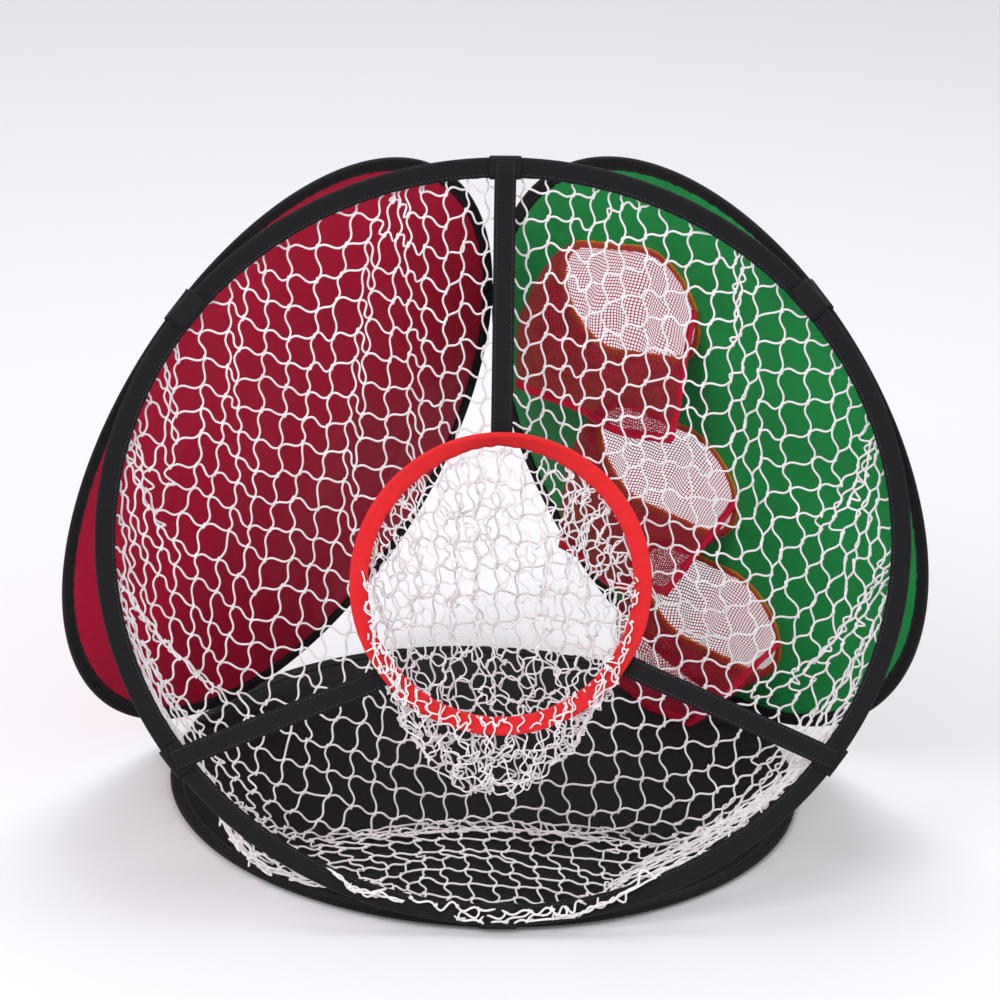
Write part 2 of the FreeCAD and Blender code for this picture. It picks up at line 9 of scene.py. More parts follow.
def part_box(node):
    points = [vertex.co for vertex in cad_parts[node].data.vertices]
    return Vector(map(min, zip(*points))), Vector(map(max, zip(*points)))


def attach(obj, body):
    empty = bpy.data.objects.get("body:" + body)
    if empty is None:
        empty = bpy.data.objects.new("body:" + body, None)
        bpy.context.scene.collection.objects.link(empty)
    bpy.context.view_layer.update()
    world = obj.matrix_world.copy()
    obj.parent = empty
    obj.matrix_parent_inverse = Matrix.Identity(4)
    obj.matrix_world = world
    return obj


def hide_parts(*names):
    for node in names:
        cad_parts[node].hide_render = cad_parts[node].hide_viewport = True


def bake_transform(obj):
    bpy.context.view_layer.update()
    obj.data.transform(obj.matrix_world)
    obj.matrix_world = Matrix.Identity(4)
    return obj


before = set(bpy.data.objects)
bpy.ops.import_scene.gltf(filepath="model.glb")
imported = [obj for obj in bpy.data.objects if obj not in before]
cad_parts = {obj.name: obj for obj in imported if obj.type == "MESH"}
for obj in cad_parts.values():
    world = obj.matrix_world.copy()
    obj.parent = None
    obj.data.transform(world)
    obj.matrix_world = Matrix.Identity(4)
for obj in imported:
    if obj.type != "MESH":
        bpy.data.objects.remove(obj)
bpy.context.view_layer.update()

UP = np.array([0.0, 0.0, 1.0])
FULL_TURN = 2 * math.pi


# Camera, lights and floor ---------------------------------------------------------------------

CAMERA_AZIMUTH = math.radians(3.49)
CAMERA_ELEVATION = math.radians(21.29)
CAMERA_ROLL = math.radians(-2.31)
CAMERA_DISTANCE = 2.4925
CAMERA_LENS_MM = 118.5
AIM_RIGHT = -0.0044
AIM_ABOVE = 0.0315
FLOOR_HALF = 4.0
WORLD_COLOR = (0.97, 0.97, 1.0)
WORLD_STRENGTH = 0.86
FLOOR_COLOR = (0.76, 0.75, 0.78)
# name, place, what it points at, width in metres, power in watts
LIGHTS = (
    ("key", (-1.6, -2.2, 2.6), (0, 0, 0.25), 1.6, 48),
    ("fill", (2.2, -1.8, 1.6), (0, 0, 0.25), 2.0, 12),
    ("top", (0.2, 0.8, 3.0), (0, 0, 0.2), 2.0, 30),
)


def unit(vector):
    return vector / np.linalg.norm(vector)


def in_scene(name, data):
    """A new object for some data, linked into the scene."""
    thing = bpy.data.objects.new(name, data)
    bpy.context.scene.collection.objects.link(thing)
    return thing


def make_camera():
    """The photograph's viewpoint: it looks at a point just above the front hoop's middle."""
    low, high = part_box("hoop_sleeve")
    target = (np.array(low) + np.array(high)) / 2
    level = math.cos(CAMERA_ELEVATION)
    forward = np.array([math.sin(CAMERA_AZIMUTH) * level, math.cos(CAMERA_AZIMUTH) * level,
                        -math.sin(CAMERA_ELEVATION)])
    side = np.array([math.cos(CAMERA_AZIMUTH), -math.sin(CAMERA_AZIMUTH), 0.0])
    down = np.cross(forward, side)
    right = side * math.cos(CAMERA_ROLL) + down * math.sin(CAMERA_ROLL)
    up = side * math.sin(CAMERA_ROLL) - down * math.cos(CAMERA_ROLL)
    aim = target + right * AIM_RIGHT + up * AIM_ABOVE
    place = aim - forward * CAMERA_DISTANCE
    data = bpy.data.cameras.new("camera")
    data.lens = CAMERA_LENS_MM
    data.sensor_width = 36
    data.clip_end = 50
    camera = in_scene("camera", data)
    matrix = np.eye(4)
    matrix[:3, 0], matrix[:3, 1], matrix[:3, 2], matrix[:3, 3] = right, up, -forward, place
    camera.matrix_world = Matrix(matrix.tolist())
    bpy.context.scene.camera = camera


def make_light(name, place, target, size, power):
    data = bpy.data.lights.new(name, "AREA")
    data.shape = "DISK"
    data.size = size
    data.energy = power
    light = in_scene(name, data)
    light.location = place
    direction = Vector(target) - Vector(place)
    light.rotation_euler = direction.to_track_quat("-Z", "Y").to_euler()


def make_studio():
    world = bpy.data.worlds.new("studio")
    bpy.context.scene.world = world
    world.use_nodes = True
    background = world.node_tree.nodes["Background"]
    background.inputs["Color"].default_value = (*WORLD_COLOR, 1)
    background.inputs["Strength"].default_value = WORLD_STRENGTH
    bpy.context.scene.view_settings.view_transform = "Standard"
    for light in LIGHTS:
        make_light(*light)
    mesh = bpy.data.meshes.new("floor")
    corners = [(-FLOOR_HALF, -FLOOR_HALF, 0), (FLOOR_HALF, -FLOOR_HALF, 0),
               (FLOOR_HALF, FLOOR_HALF, 0), (-FLOOR_HALF, FLOOR_HALF, 0)]
    mesh.from_pydata(corners, [], [(0, 1, 2, 3)])
    floor = in_scene("floor", mesh)
    paint = Look("floor_paint")
    paint.surface({"Base Color": FLOOR_COLOR, "Roughness": 0.7})
    mesh.materials.append(paint.material)


# Materials ------------------------------------------------------------------------------------


RELIEF_DEPTH = 0.0003
WHITE = (1.0, 1.0, 1.0)
STRAND_SLANT = math.radians(35)


class Look:
    """A procedural material, put together from shader nodes."""

    def __init__(self, name):
        self.material = bpy.data.materials.new(name)
        self.material.use_nodes = True
        self.nodes = self.material.node_tree.nodes
        self.shader = self.nodes["Principled BSDF"]

    def feed(self, socket, value):
        """Give a socket a number, a colour or another node's output."""
        if isinstance(value, tuple):
            socket.default_value = (*value, 1)
        elif isinstance(value, (int, float)):
            socket.default_value = value
        else:
            self.material.node_tree.links.new(value, socket)

    def surface(self, values):
        for name, value in values.items():
            self.feed(self.shader.inputs[name], value)

    def over_uv(self):
        return self.nodes.new("ShaderNodeUVMap").outputs["UV"]

    def in_object(self):
        return self.nodes.new("ShaderNodeTexCoord").outputs["Object"]

    def bands(self, coordinates, pitch, direction):
        """Even bands, one per pitch in metres, from a sine of the given coordinates."""
        wave = self.nodes.new("ShaderNodeTexWave")
        wave.wave_type = "BANDS"
        wave.bands_direction = direction
        wave.inputs["Scale"].default_value = FULL_TURN / (20 * pitch)
        self.feed(wave.inputs["Vector"], coordinates)
        return wave.outputs["Fac"]

    def math(self, operation, first, second):
        node = self.nodes.new("ShaderNodeMath")
        node.operation = operation
        self.feed(node.inputs[0], first)
        self.feed(node.inputs[1], second)
        return node.outputs[0]

    def noise(self, coordinates, scale, detail):
        node = self.nodes.new("ShaderNodeTexNoise")
        node.inputs["Scale"].default_value = scale
        node.inputs["Detail"].default_value = detail
        self.feed(node.inputs["Vector"], coordinates)
        return node.outputs["Fac"]

    def ramp(self, value, *stops):
        """Colours between two (position, colour) stops. A lone number is a grey."""
        node = self.nodes.new("ShaderNodeValToRGB")
        for element, (position, color) in zip(node.color_ramp.elements, stops):
            element.position = position
            element.color = (*(color if isinstance(color, tuple) else (color,) * 3), 1)
        self.feed(node.inputs["Fac"], value)
        return node.outputs["Color"]

    def paint(self, base, patches):
        """Colour the surface with one pattern multiplied by another."""
        node = self.nodes.new("ShaderNodeMix")
        node.data_type = "RGBA"
        node.blend_type = "MULTIPLY"
        node.inputs[0].default_value = 1.0
        self.feed(node.inputs[6], base)
        self.feed(node.inputs[7], patches)
        self.surface({"Base Color": node.outputs[2]})

    def relief(self, height, strength):
        node = self.nodes.new("ShaderNodeBump")
        node.inputs["Strength"].default_value = strength
        node.inputs["Distance"].default_value = RELIEF_DEPTH
        self.feed(node.inputs["Height"], height)
        self.surface({"Normal": node.outputs["Normal"]})


def shade(color, factor):
    return tuple(min(1.0, channel * factor) for channel in color)


def woven(name, color, pitch, roughness, sheen, contrast, bump=0.25, weft_share=1.0):
    """Plain weave: warp and weft bands over the piece's own UVs in metres, with soft mottling."""
    look = Look(name)
    place = look.over_uv()
    warp, weft = look.bands(place, pitch, "X"), look.bands(place, pitch * weft_share, "Y")
    threads = look.math("MULTIPLY", warp, weft)
    place = look.in_object()
    clouds, fuzz = look.noise(place, 14, 4), look.noise(place, 900, 2)
    base = look.ramp(threads, (0.0, shade(color, 1 - contrast)), (0.8, shade(color, 1 + contrast)))
    look.paint(base, look.ramp(clouds, (0.3, 0.85), (0.7, WHITE)))
    look.relief(look.math("ADD", threads, look.math("MULTIPLY", fuzz, 0.5)), bump)
    look.surface({"Roughness": look.ramp(fuzz, (0.2, roughness - 0.1), (0.8, roughness + 0.08)),
                  "Sheen Weight": sheen, "Sheen Roughness": 0.5, "Specular IOR Level": 0.2})
    return look.material


def twine(name, color, lay):
    """Soft twisted yarn: slanted strands along each tube's own UVs, with fine fibres between."""
    look = Look(name)
    place = look.over_uv()
    slant = look.nodes.new("ShaderNodeMapping")
    slant.inputs["Rotation"].default_value = (0, 0, STRAND_SLANT)
    look.feed(slant.inputs["Vector"], place)
    strands = look.bands(slant.outputs["Vector"], lay, "Y")
    place = look.in_object()
    fibres, clouds = look.noise(place, 1400, 2), look.noise(place, 25, 3)
    base = look.ramp(strands, (0.0, shade(color, 0.8)), (0.6, color))
    look.paint(base, look.ramp(clouds, (0.3, (0.86, 0.84, 0.84)), (0.7, WHITE)))
    look.relief(look.math("ADD", strands, fibres), 0.4)
    look.surface({"Roughness": 0.85, "Sheen Weight": 0.4, "Specular IOR Level": 0.25})
    return look.material


def steel(name):
    """Drawn spring wire: fine rings of drawing marks and a slightly uneven shine."""
    look = Look(name)
    marks = look.noise(look.in_object(), 600, 4)
    look.surface({"Base Color": look.ramp(marks, (0.3, (0.36, 0.37, 0.39)), (0.7, (0.55, 0.56, 0.58)))})
    look.surface({"Roughness": look.ramp(marks, (0.2, 0.25), (0.8, 0.42)), "Metallic": 1.0})
    return look.material


# Frames of the hoop and discs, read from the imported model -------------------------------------


class Plane:
    """An origin with two in-plane axes and the normal that points into the net's inside."""

    def __init__(self, origin, x_axis, y_axis):
        self.origin = np.array(origin, float)
        self.x = unit(np.array(x_axis, float))
        self.y = unit(np.array(y_axis, float))
        self.n = np.cross(self.x, self.y)

    def at(self, x, y, z=0.0):
        x, y, z = np.broadcast_arrays(np.asarray(x, float), np.asarray(y, float), np.asarray(z, float))
        return (self.origin + x[..., None] * self.x + y[..., None] * self.y + z[..., None] * self.n)

    def local(self, points):
        away = np.asarray(points, float) - self.origin
        return np.stack([away @ self.x, away @ self.y, away @ self.n], -1)

    def moved(self, x, y):
        return Plane(self.at(x, y), self.x, self.y)

    def turned(self, angle):
        c, s = math.cos(angle), math.sin(angle)
        return Plane(self.origin, self.x * c + self.y * s, self.y * c - self.x * s)


def node_points(node):
    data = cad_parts[node].data
    points = np.empty(len(data.vertices) * 3)
    data.vertices.foreach_get("co", points)
    matrix = np.array(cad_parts[node].matrix_world)
    return points.reshape(-1, 3) @ matrix[:3, :3].T + matrix[:3, 3]


def flat_plane(node, facing, up):
    """The plane of a flat node: it faces a given point or way, with its y axis along up."""
    low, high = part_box(node)
    center = (np.array(low) + np.array(high)) / 2
    points = node_points(node) - center
    normal = np.linalg.svd(points[:: max(1, len(points) // 4000)], full_matrices=False)[2][2]
    if normal @ (np.array(facing) - center) < 0:
        normal = -normal
    y_axis = unit(np.array(up) - normal * (np.array(up) @ normal))
    return Plane(center, np.cross(y_axis, normal), y_axis)


def outer_radius(node, plane):
    return np.abs(plane.local(node_points(node))[:, :2]).max(axis=0)


INSIDE = np.array([0.0, 0.0, 0.2])
FRONT = np.array([0.0, -5.0, 2.0])
HOOP = flat_plane("hoop_sleeve", FRONT, UP)
RED = flat_plane("red_binding", INSIDE, UP)
GREEN = flat_plane("green_binding", INSIDE, UP)
BLACK = flat_plane("black_binding", INSIDE, (0, 1, 0))
TARGET = flat_plane("target_sleeve", FRONT, UP)
HOOP_HALF = outer_radius("hoop_sleeve", HOOP)
PANEL_HALF = outer_radius("black_binding", BLACK)
TARGET_HALF = outer_radius("target_sleeve", TARGET)


# Mesh helpers ---------------------------------------------------------------------------------


def make_object(name, verts, faces, uvs, material):
    """A mesh object from arrays: faces is an (n, k) array, uvs gives one pair per face corner."""
    verts = np.asarray(verts, np.float32)
    faces = np.asarray(faces, np.int32)
    mesh = bpy.data.meshes.new(name)
    mesh.vertices.add(len(verts))
    mesh.vertices.foreach_set("co", verts.ravel())
    count, corners = faces.shape
    mesh.loops.add(count * corners)
    mesh.loops.foreach_set("vertex_index", faces.ravel())
    mesh.polygons.add(count)
    mesh.polygons.foreach_set("loop_start", np.arange(0, count * corners, corners, dtype=np.int32))
    mesh.polygons.foreach_set("use_smooth", np.ones(count, bool))
    mesh.update(calc_edges=True)
    layer = mesh.uv_layers.new(name="UVMap")
    layer.data.foreach_set("uv", np.asarray(uvs, np.float32).ravel())
    mesh.validate()
    mesh.materials.append(material)
    return in_scene(name, mesh)


def grid_faces(rows, columns, wrap_rows=False, wrap_columns=False):
    """Quads of a grid of vertices, and the grid place (row, column) of each corner."""
    last_row = rows if wrap_rows else rows - 1
    last_column = columns if wrap_columns else columns - 1
    row, column = np.meshgrid(np.arange(last_row), np.arange(last_column), indexing="ij")
    row, column = row.ravel(), column.ravel()
    corner_rows = np.stack([row, row + 1, row + 1, row], 1)
    corner_columns = np.stack([column, column, column + 1, column + 1], 1)
    faces = (corner_rows % rows) * columns + corner_columns % columns
    return faces, corner_rows, corner_columns


def ripple(angle, seed, waves):
    """A smooth closed random wave, between about -1 and 1, made of the given wave numbers."""
    rng = np.random.default_rng(seed)
    total = np.zeros_like(angle)
    for number in waves:
        total += math.sqrt(1 / len(waves)) * np.sin(number * angle + rng.uniform(0, FULL_TURN))
    return total


class Oval:
    """A closed line round a plane's origin: points and outward normals by angle."""

    def __init__(self, plane, half_width, half_height):
        self.plane = plane
        self.half = (half_width, half_height)

    def point(self, angle, outward=0.0, lift=0.0):
        a, b = self.half
        x, y = a * np.cos(angle), b * np.sin(angle)
        nx, ny = b * np.cos(angle), a * np.sin(angle)
        size = np.hypot(nx, ny)
        return self.plane.at(x + outward * nx / size, y + outward * ny / size, lift)

    def length(self):
        angle = np.linspace(0, FULL_TURN, 721)
        return float(np.linalg.norm(np.diff(self.point(angle), axis=0), axis=1).sum())


def sweep_section(name, line, section, steps, material, wrinkle):
    """Sweep a closed section of (outward, lift) pairs round a line, with wrinkles."""
    angle = np.linspace(0, FULL_TURN, steps, endpoint=False)
    section = np.asarray(section, float)
    outward = np.tile(section[:, 0], (steps, 1))
    lift = np.tile(section[:, 1], (steps, 1))
    outward, lift = wrinkle(angle[:, None], outward, lift)
    angles = np.tile(angle[:, None], (1, len(section)))
    points = line.point(angles, outward, lift).reshape(-1, 3)
    faces, rows, columns = grid_faces(steps, len(section), wrap_rows=True, wrap_columns=True)
    around = np.concatenate([[0], np.cumsum(np.linalg.norm(
        np.diff(np.vstack([section, section[:1]]), axis=0), axis=1))])
    uvs = np.stack([rows * line.length() / steps, around[columns]], -1)
    return make_object(name, points, faces, uvs, material)


# Sleeves and bindings of the rings --------------------------------------------------------------


SLEEVE_STEP = 0.0026
TAPE_FLAT = 0.0011
LOOP_GAP = 0.0007
STITCH_PITCH = 0.0034
STITCH_SHARE = 0.62
THREAD = 0.00022


def sleeve_section(band, thick):
    """Half of a folded tape: a round tunnel at the rim and two flat layers towards the middle."""
    bulge = thick / 2
    inner = -(band - bulge)
    neck = -1.6 * bulge
    points = []
    for turn in np.linspace(-math.pi * 0.62, math.pi * 0.62, 11):
        points.append((bulge * math.cos(turn) * 0.98, bulge * math.sin(turn)))
    upper = [(neck, bulge * 0.62), (inner * 0.55 + neck * 0.45, TAPE_FLAT * 1.5),
             (inner * 0.8, TAPE_FLAT * 1.15), (inner + 0.0016, TAPE_FLAT * 1.1),
             (inner + 0.0003, TAPE_FLAT * 0.6)]
    lower = [(x, -y) for x, y in reversed(upper)]
    return points + upper + lower


def puckered(seed, tunnel, band, size, waves):
    """Wrinkles of a sewn sleeve: none at the wire and the most towards the sewn edge."""

    def wrinkle(angle, outward, lift):
        share = np.clip(-outward / band, 0, 1)
        fine = ripple(angle, seed, waves)
        other = ripple(angle + 0.004 * outward / tunnel, seed + 1, waves[::-1])
        lift = lift + size * share * fine
        outward = outward + 0.45 * size * share * other
        return outward, lift

    return wrinkle


def stitch_run(name, line, outward, lift, material, twist):
    """Raised thread stitches along a line, on the side of the given lift."""
    count = int(line.length() / STITCH_PITCH)
    sides, rings = 6, 5
    middle = np.arange(count) * FULL_TURN / count
    half = FULL_TURN / count * STITCH_SHARE / 2
    along = np.linspace(-1, 1, rings)
    angle = middle[:, None] + half * along
    arch = np.sqrt(np.clip(1 - 0.9 * along ** 2, 0, 1))
    turn = np.linspace(0, FULL_TURN, sides, endpoint=False)
    out = outward + THREAD * np.cos(turn) * arch[:, None]
    up = lift + math.copysign(THREAD, lift) * (arch[:, None] * 1.1 - 0.9)
    up = up + THREAD * np.sin(turn) * arch[:, None]
    angles, out, up = np.broadcast_arrays(angle[:, :, None], out, up)
    if twist is not None:
        out, up = turned_back(angles, out, up, *twist)
    points = line.point(angles, out, up).reshape(-1, 3)
    faces, rows, columns = grid_faces(rings, sides, wrap_columns=True)
    blocks = (faces[None] + (np.arange(count) * rings * sides)[:, None, None]).reshape(-1, 4)
    uvs = np.stack([columns * THREAD, rows * STITCH_PITCH / rings], -1)
    return make_object(name, points, blocks, np.tile(uvs, (count, 1, 1)), material)


def turned_back(angle, outward, lift, turn, middle, reach):
    """Turn a sleeve's flat edge backwards round one place of its ring."""
    away = (angle - middle + math.pi) % FULL_TURN - math.pi
    tilt = turn * np.exp(-(away / reach) ** 2)
    return outward * np.cos(tilt) - lift * np.sin(tilt), outward * np.sin(tilt) + lift * np.cos(tilt)


def build_sleeve(name, line, band, thick, material, thread, body, nodes, seed, size=0.0005,
                 waves=(97, 131, 173, 211), twist=None):
    """A ring's sewn sleeve with its two rows of visible stitches, riding on the ring's body."""
    section = sleeve_section(band, thick)
    puckers = puckered(seed, thick, band, size, waves)

    def wrinkle(angle, outward, lift):
        outward, lift = puckers(angle, outward, lift)
        return (outward, lift) if twist is None else turned_back(angle, outward, lift, *twist)

    steps = int(line.length() / SLEEVE_STEP)
    sleeve = sweep_section(name, line, section, steps, material, wrinkle)
    inner = -(band - thick / 2)
    for side in (1, -1):
        run = stitch_run(f"{name}_stitches_{'front' if side > 0 else 'back'}", line,
                         inner + 0.0024, side * 0.0016, thread, twist)
        run.parent = sleeve
    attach(sleeve, body)
    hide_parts(*nodes)


# Cloth discs ------------------------------------------------------------------------------------

CLOTH_STEP = 0.0045
CLOTH_THICK = 0.0006
HOLE_LENGTH = 0.164
HOLE_HEIGHT = 0.094


def slot_outline(length, height, step):
    """Points round a slot with round ends, centred on the origin and running along x."""
    radius = height / 2
    half = length / 2 - radius
    points = []
    ends = max(10, int(math.pi * radius / step))
    runs = max(2, int(2 * half / step))
    for turn in np.linspace(-math.pi / 2, math.pi / 2, ends, endpoint=False):
        points.append((half + radius * math.cos(turn), radius * math.sin(turn)))
    for share in np.linspace(0, 1, runs, endpoint=False):
        points.append((half - 2 * half * share, radius))
    for turn in np.linspace(math.pi / 2, math.pi * 1.5, ends, endpoint=False):
        points.append((-half + radius * math.cos(turn), radius * math.sin(turn)))
    for share in np.linspace(0, 1, runs, endpoint=False):
        points.append((-half + 2 * half * share, -radius))
    return np.array(points)


def flat_cloth(radius, holes):
    """Triangles of a disc with holes: a regular grid of points between the outlines."""
    count = int(FULL_TURN * radius / CLOTH_STEP)
    turn = np.linspace(0, FULL_TURN, count, endpoint=False)
    rim = np.stack([radius * np.cos(turn), radius * np.sin(turn)], 1)
    outlines = [rim] + list(holes)
    span = np.arange(-radius, radius, CLOTH_STEP)
    x, y = np.meshgrid(span, span)
    x = x + CLOTH_STEP / 2 * (np.arange(len(span))[:, None] % 2)
    inner = np.stack([x.ravel(), y.ravel()], 1)
    inner = inner[np.hypot(inner[:, 0], inner[:, 1]) < radius - CLOTH_STEP * 0.6]
    for hole in holes:
        gap = np.linalg.norm(inner[:, None] - hole[None], axis=2).min(axis=1)
        inner = inner[(gap > CLOTH_STEP * 0.6) & ~inside_outline(inner, hole)]
    verts, edges = [], []
    for outline in outlines:
        start = len(verts)
        verts.extend(map(tuple, outline))
        edges.extend((start + i, start + (i + 1) % len(outline)) for i in range(len(outline)))
    verts.extend(map(tuple, inner))
    result = delaunay_2d_cdt([Vector(v) for v in verts], edges, [], 0, 1e-7)
    points = np.array([tuple(v) for v in result[0]])
    faces = np.array([face for face in result[2] if len(face) == 3])
    middle = points[faces].mean(axis=1)
    keep = np.hypot(middle[:, 0], middle[:, 1]) < radius
    for hole in holes:
        keep &= ~inside_outline(middle, hole)
    return points, faces[keep]


def inside_outline(points, outline):
    """Which points lie inside a closed outline, by counting its crossings of a ray along x."""
    x, y = points[:, 0][:, None], points[:, 1][:, None]
    x1, y1 = outline[:, 0], outline[:, 1]
    x2, y2 = np.roll(x1, -1), np.roll(y1, -1)
    crosses = (y1 > y) != (y2 > y)
    with np.errstate(divide="ignore", invalid="ignore"):
        reach = x1 + (y - y1) / (y2 - y1) * (x2 - x1)
    return (crosses & (x < reach)).sum(axis=1) % 2 == 1


def smooth_noise(points, scale, seed):
    """Soft noise over a flat sheet: a sum of slanted sines with random phases."""
    rng = np.random.default_rng(seed)
    total = np.zeros(len(points))
    for _ in range(9):
        turn, phase = rng.uniform(0, FULL_TURN), rng.uniform(0, FULL_TURN)
        pitch = scale * rng.uniform(0.6, 1.7)
        total += np.sin(FULL_TURN / pitch * (points[:, 0] * math.cos(turn)
                                             + points[:, 1] * math.sin(turn)) + phase)
    return total / 3


def build_cloth(name, plane, radius, material, body, node, seed, holes=(), crease=None, slack=0.0012):
    """A disc of thin cloth held in its binding: puckers at the rim and soft slack waves inside."""
    points, faces = flat_cloth(radius, holes)
    angle = np.arctan2(points[:, 1], points[:, 0])
    away = np.hypot(points[:, 0], points[:, 1])
    edge = np.clip((away / radius - 0.8) / 0.2, 0, 1)
    lift = slack * smooth_noise(points, 0.16, seed) * (1 - edge ** 2)
    lift += 0.0006 * edge * (1 - edge ** 6) * ripple(angle, seed + 3, (61, 83, 107))
    for number, hole in enumerate(holes):
        gap = np.linalg.norm(points[:, None] - hole[None], axis=2).min(axis=1)
        middle = hole.mean(axis=0)
        round_hole = np.arctan2(points[:, 1] - middle[1], points[:, 0] - middle[0])
        near = np.exp(-gap / 0.022)
        loose = np.clip((gap - 0.007) / 0.010, 0, 1) ** 2
        lift = lift * loose
        lift += 0.0016 * near * loose * ripple(round_hole, seed + 7 + number, (13, 19, 27))
    if crease is not None:
        gap = np.hypot(points[:, 0] - crease[0], points[:, 1] - crease[1]) - crease[2]
        lift += 0.0009 * np.exp(-(gap / 0.0035) ** 2)
    world = plane.at(points[:, 0], points[:, 1], lift)
    uvs = points[faces]
    cloth = make_object(name, world, faces, uvs, material)
    solid = cloth.modifiers.new("thickness", "SOLIDIFY")
    solid.thickness = CLOTH_THICK
    solid.offset = 0
    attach(cloth, body)
    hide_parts(node)
    return cloth


# Webbing ----------------------------------------------------------------------------------------

TAB_WIDTH = 0.024
TIE_WIDTH = 0.028
NEIGHBOUR_TIE_WIDTH = 0.020
LOOP_THICK = 0.0009


def ribbon(name, points, across, width, thick, material, rows=9):
    """A flat webbing strip along points, with rounded selvedges. across is its width direction."""
    points = np.asarray(points, float)
    across = np.tile(across, (len(points), 1))
    along = np.gradient(points, axis=0)
    along /= np.linalg.norm(along, axis=1)[:, None]
    across = across - (across * along).sum(1)[:, None] * along
    across /= np.linalg.norm(across, axis=1)[:, None]
    face = np.cross(across, along)
    side = np.linspace(-1, 1, rows)
    half = thick / 2 * (1 - 0.35 * np.abs(side) ** 8)
    raised = 1 + 0.25 * np.exp(-((np.abs(side) - 0.93) / 0.05) ** 2)
    top = [(s * width / 2, h * r) for s, h, r in zip(side, half, raised)]
    bottom = [(x, -y) for x, y in reversed(top)]
    section = np.array(top + bottom)
    count = len(section)
    verts = points[:, None] + section[:, :1] * across[:, None] + section[:, 1:] * face[:, None]
    faces, grid_rows, columns = grid_faces(len(points), count, wrap_columns=True)
    run = np.concatenate([[0], np.cumsum(np.linalg.norm(np.diff(points, axis=0), axis=1))])
    uvs = np.stack([section[columns % count, 0], run[grid_rows]], -1)
    ends = np.array([[i, i + 1, count - 2 - i, count - 1 - i] for i in range(rows - 1)])
    last = (len(points) - 1) * count
    far = ends[:, ::-1] + last
    end_faces = np.concatenate([ends, far])
    end_uvs = np.stack([section[end_faces % count, 0], np.where(end_faces >= last, run[-1], 0)
                        + section[end_faces % count, 1]], -1)
    return make_object(name, verts.reshape(-1, 3), np.concatenate([faces, end_faces]),
                       np.concatenate([uvs, end_uvs]), material)


def loop_round(plane, center_x, center_y, direction, band, thick, width, name):
    """A band of webbing closed round a flat ring at one place: direction is outwards there."""
    outward = np.array([math.cos(direction), math.sin(direction)])
    half, radius = (band - thick) / 2, thick / 2 + LOOP_GAP
    path = []
    for turn in np.linspace(-math.pi / 2, math.pi / 2, 13):
        path.append((half + radius * math.cos(turn), radius * math.sin(turn)))
    for turn in np.linspace(math.pi / 2, math.pi * 1.5, 13):
        path.append((-half + radius * math.cos(turn), radius * math.sin(turn)))
    path.append(path[0])
    path = np.array(path)
    points = plane.at(center_x + path[:, 0] * outward[0], center_y + path[:, 0] * outward[1], path[:, 1])
    tangent = -outward[1] * plane.x + outward[0] * plane.y
    return ribbon(name, points, tangent, width, LOOP_THICK, black_webbing)


# Nets -------------------------------------------------------------------------------------------


FALL = 0.00045
DRAG = 0.96
CLOSEST = 0.3
LONGEST_STEP = 0.006
RELAX = 1.7
SLIP = 0.12


def drape(points, links, lengths, pinned, collide, steps, rounds, grip=None):
    """Let a net of nodes hang: links never stretch past their length or close up completely.

    collide moves free nodes out of whatever they have run into. grip says which nodes lie on something
    that holds them, and those keep only a small share, SLIP, of each step.
    """
    points = points.copy()
    before = points.copy()
    first, second = links[:, 0], links[:, 1]
    count = len(points)
    free = ~pinned
    share = np.where(pinned, 0.0, 1.0)
    weight = share[first] + share[second]
    weight[weight == 0] = 1
    uses = np.maximum(np.bincount(first, minlength=count) + np.bincount(second, minlength=count), 1)
    relax = RELAX / np.sqrt(uses)
    for _ in range(steps):
        moved = (points - before) * DRAG
        size = np.linalg.norm(moved, axis=1)[:, None]
        moved *= np.minimum(1, LONGEST_STEP / np.maximum(size, 1e-9))
        before = points.copy()
        points[free] += moved[free] - FALL * UP
        for _ in range(rounds):
            gap = points[second] - points[first]
            now = np.maximum(np.linalg.norm(gap, axis=1), 1e-9)
            excess = np.where(now > lengths, now - lengths, np.minimum(now - CLOSEST * lengths, 0))
            push = gap * (excess / now / weight)[:, None]
            shift = np.empty_like(points)
            for axis in range(3):
                shift[:, axis] = (np.bincount(first, push[:, axis] * share[first], count)
                                  - np.bincount(second, push[:, axis] * share[second], count))
            points += shift * (relax * share)[:, None]
        points[free] = collide(points[free])
        if grip is not None:
            held = free & grip(points)
            points[held] = before[held] + SLIP * (points[held] - before[held])
            points[free] = collide(points[free])
    return points


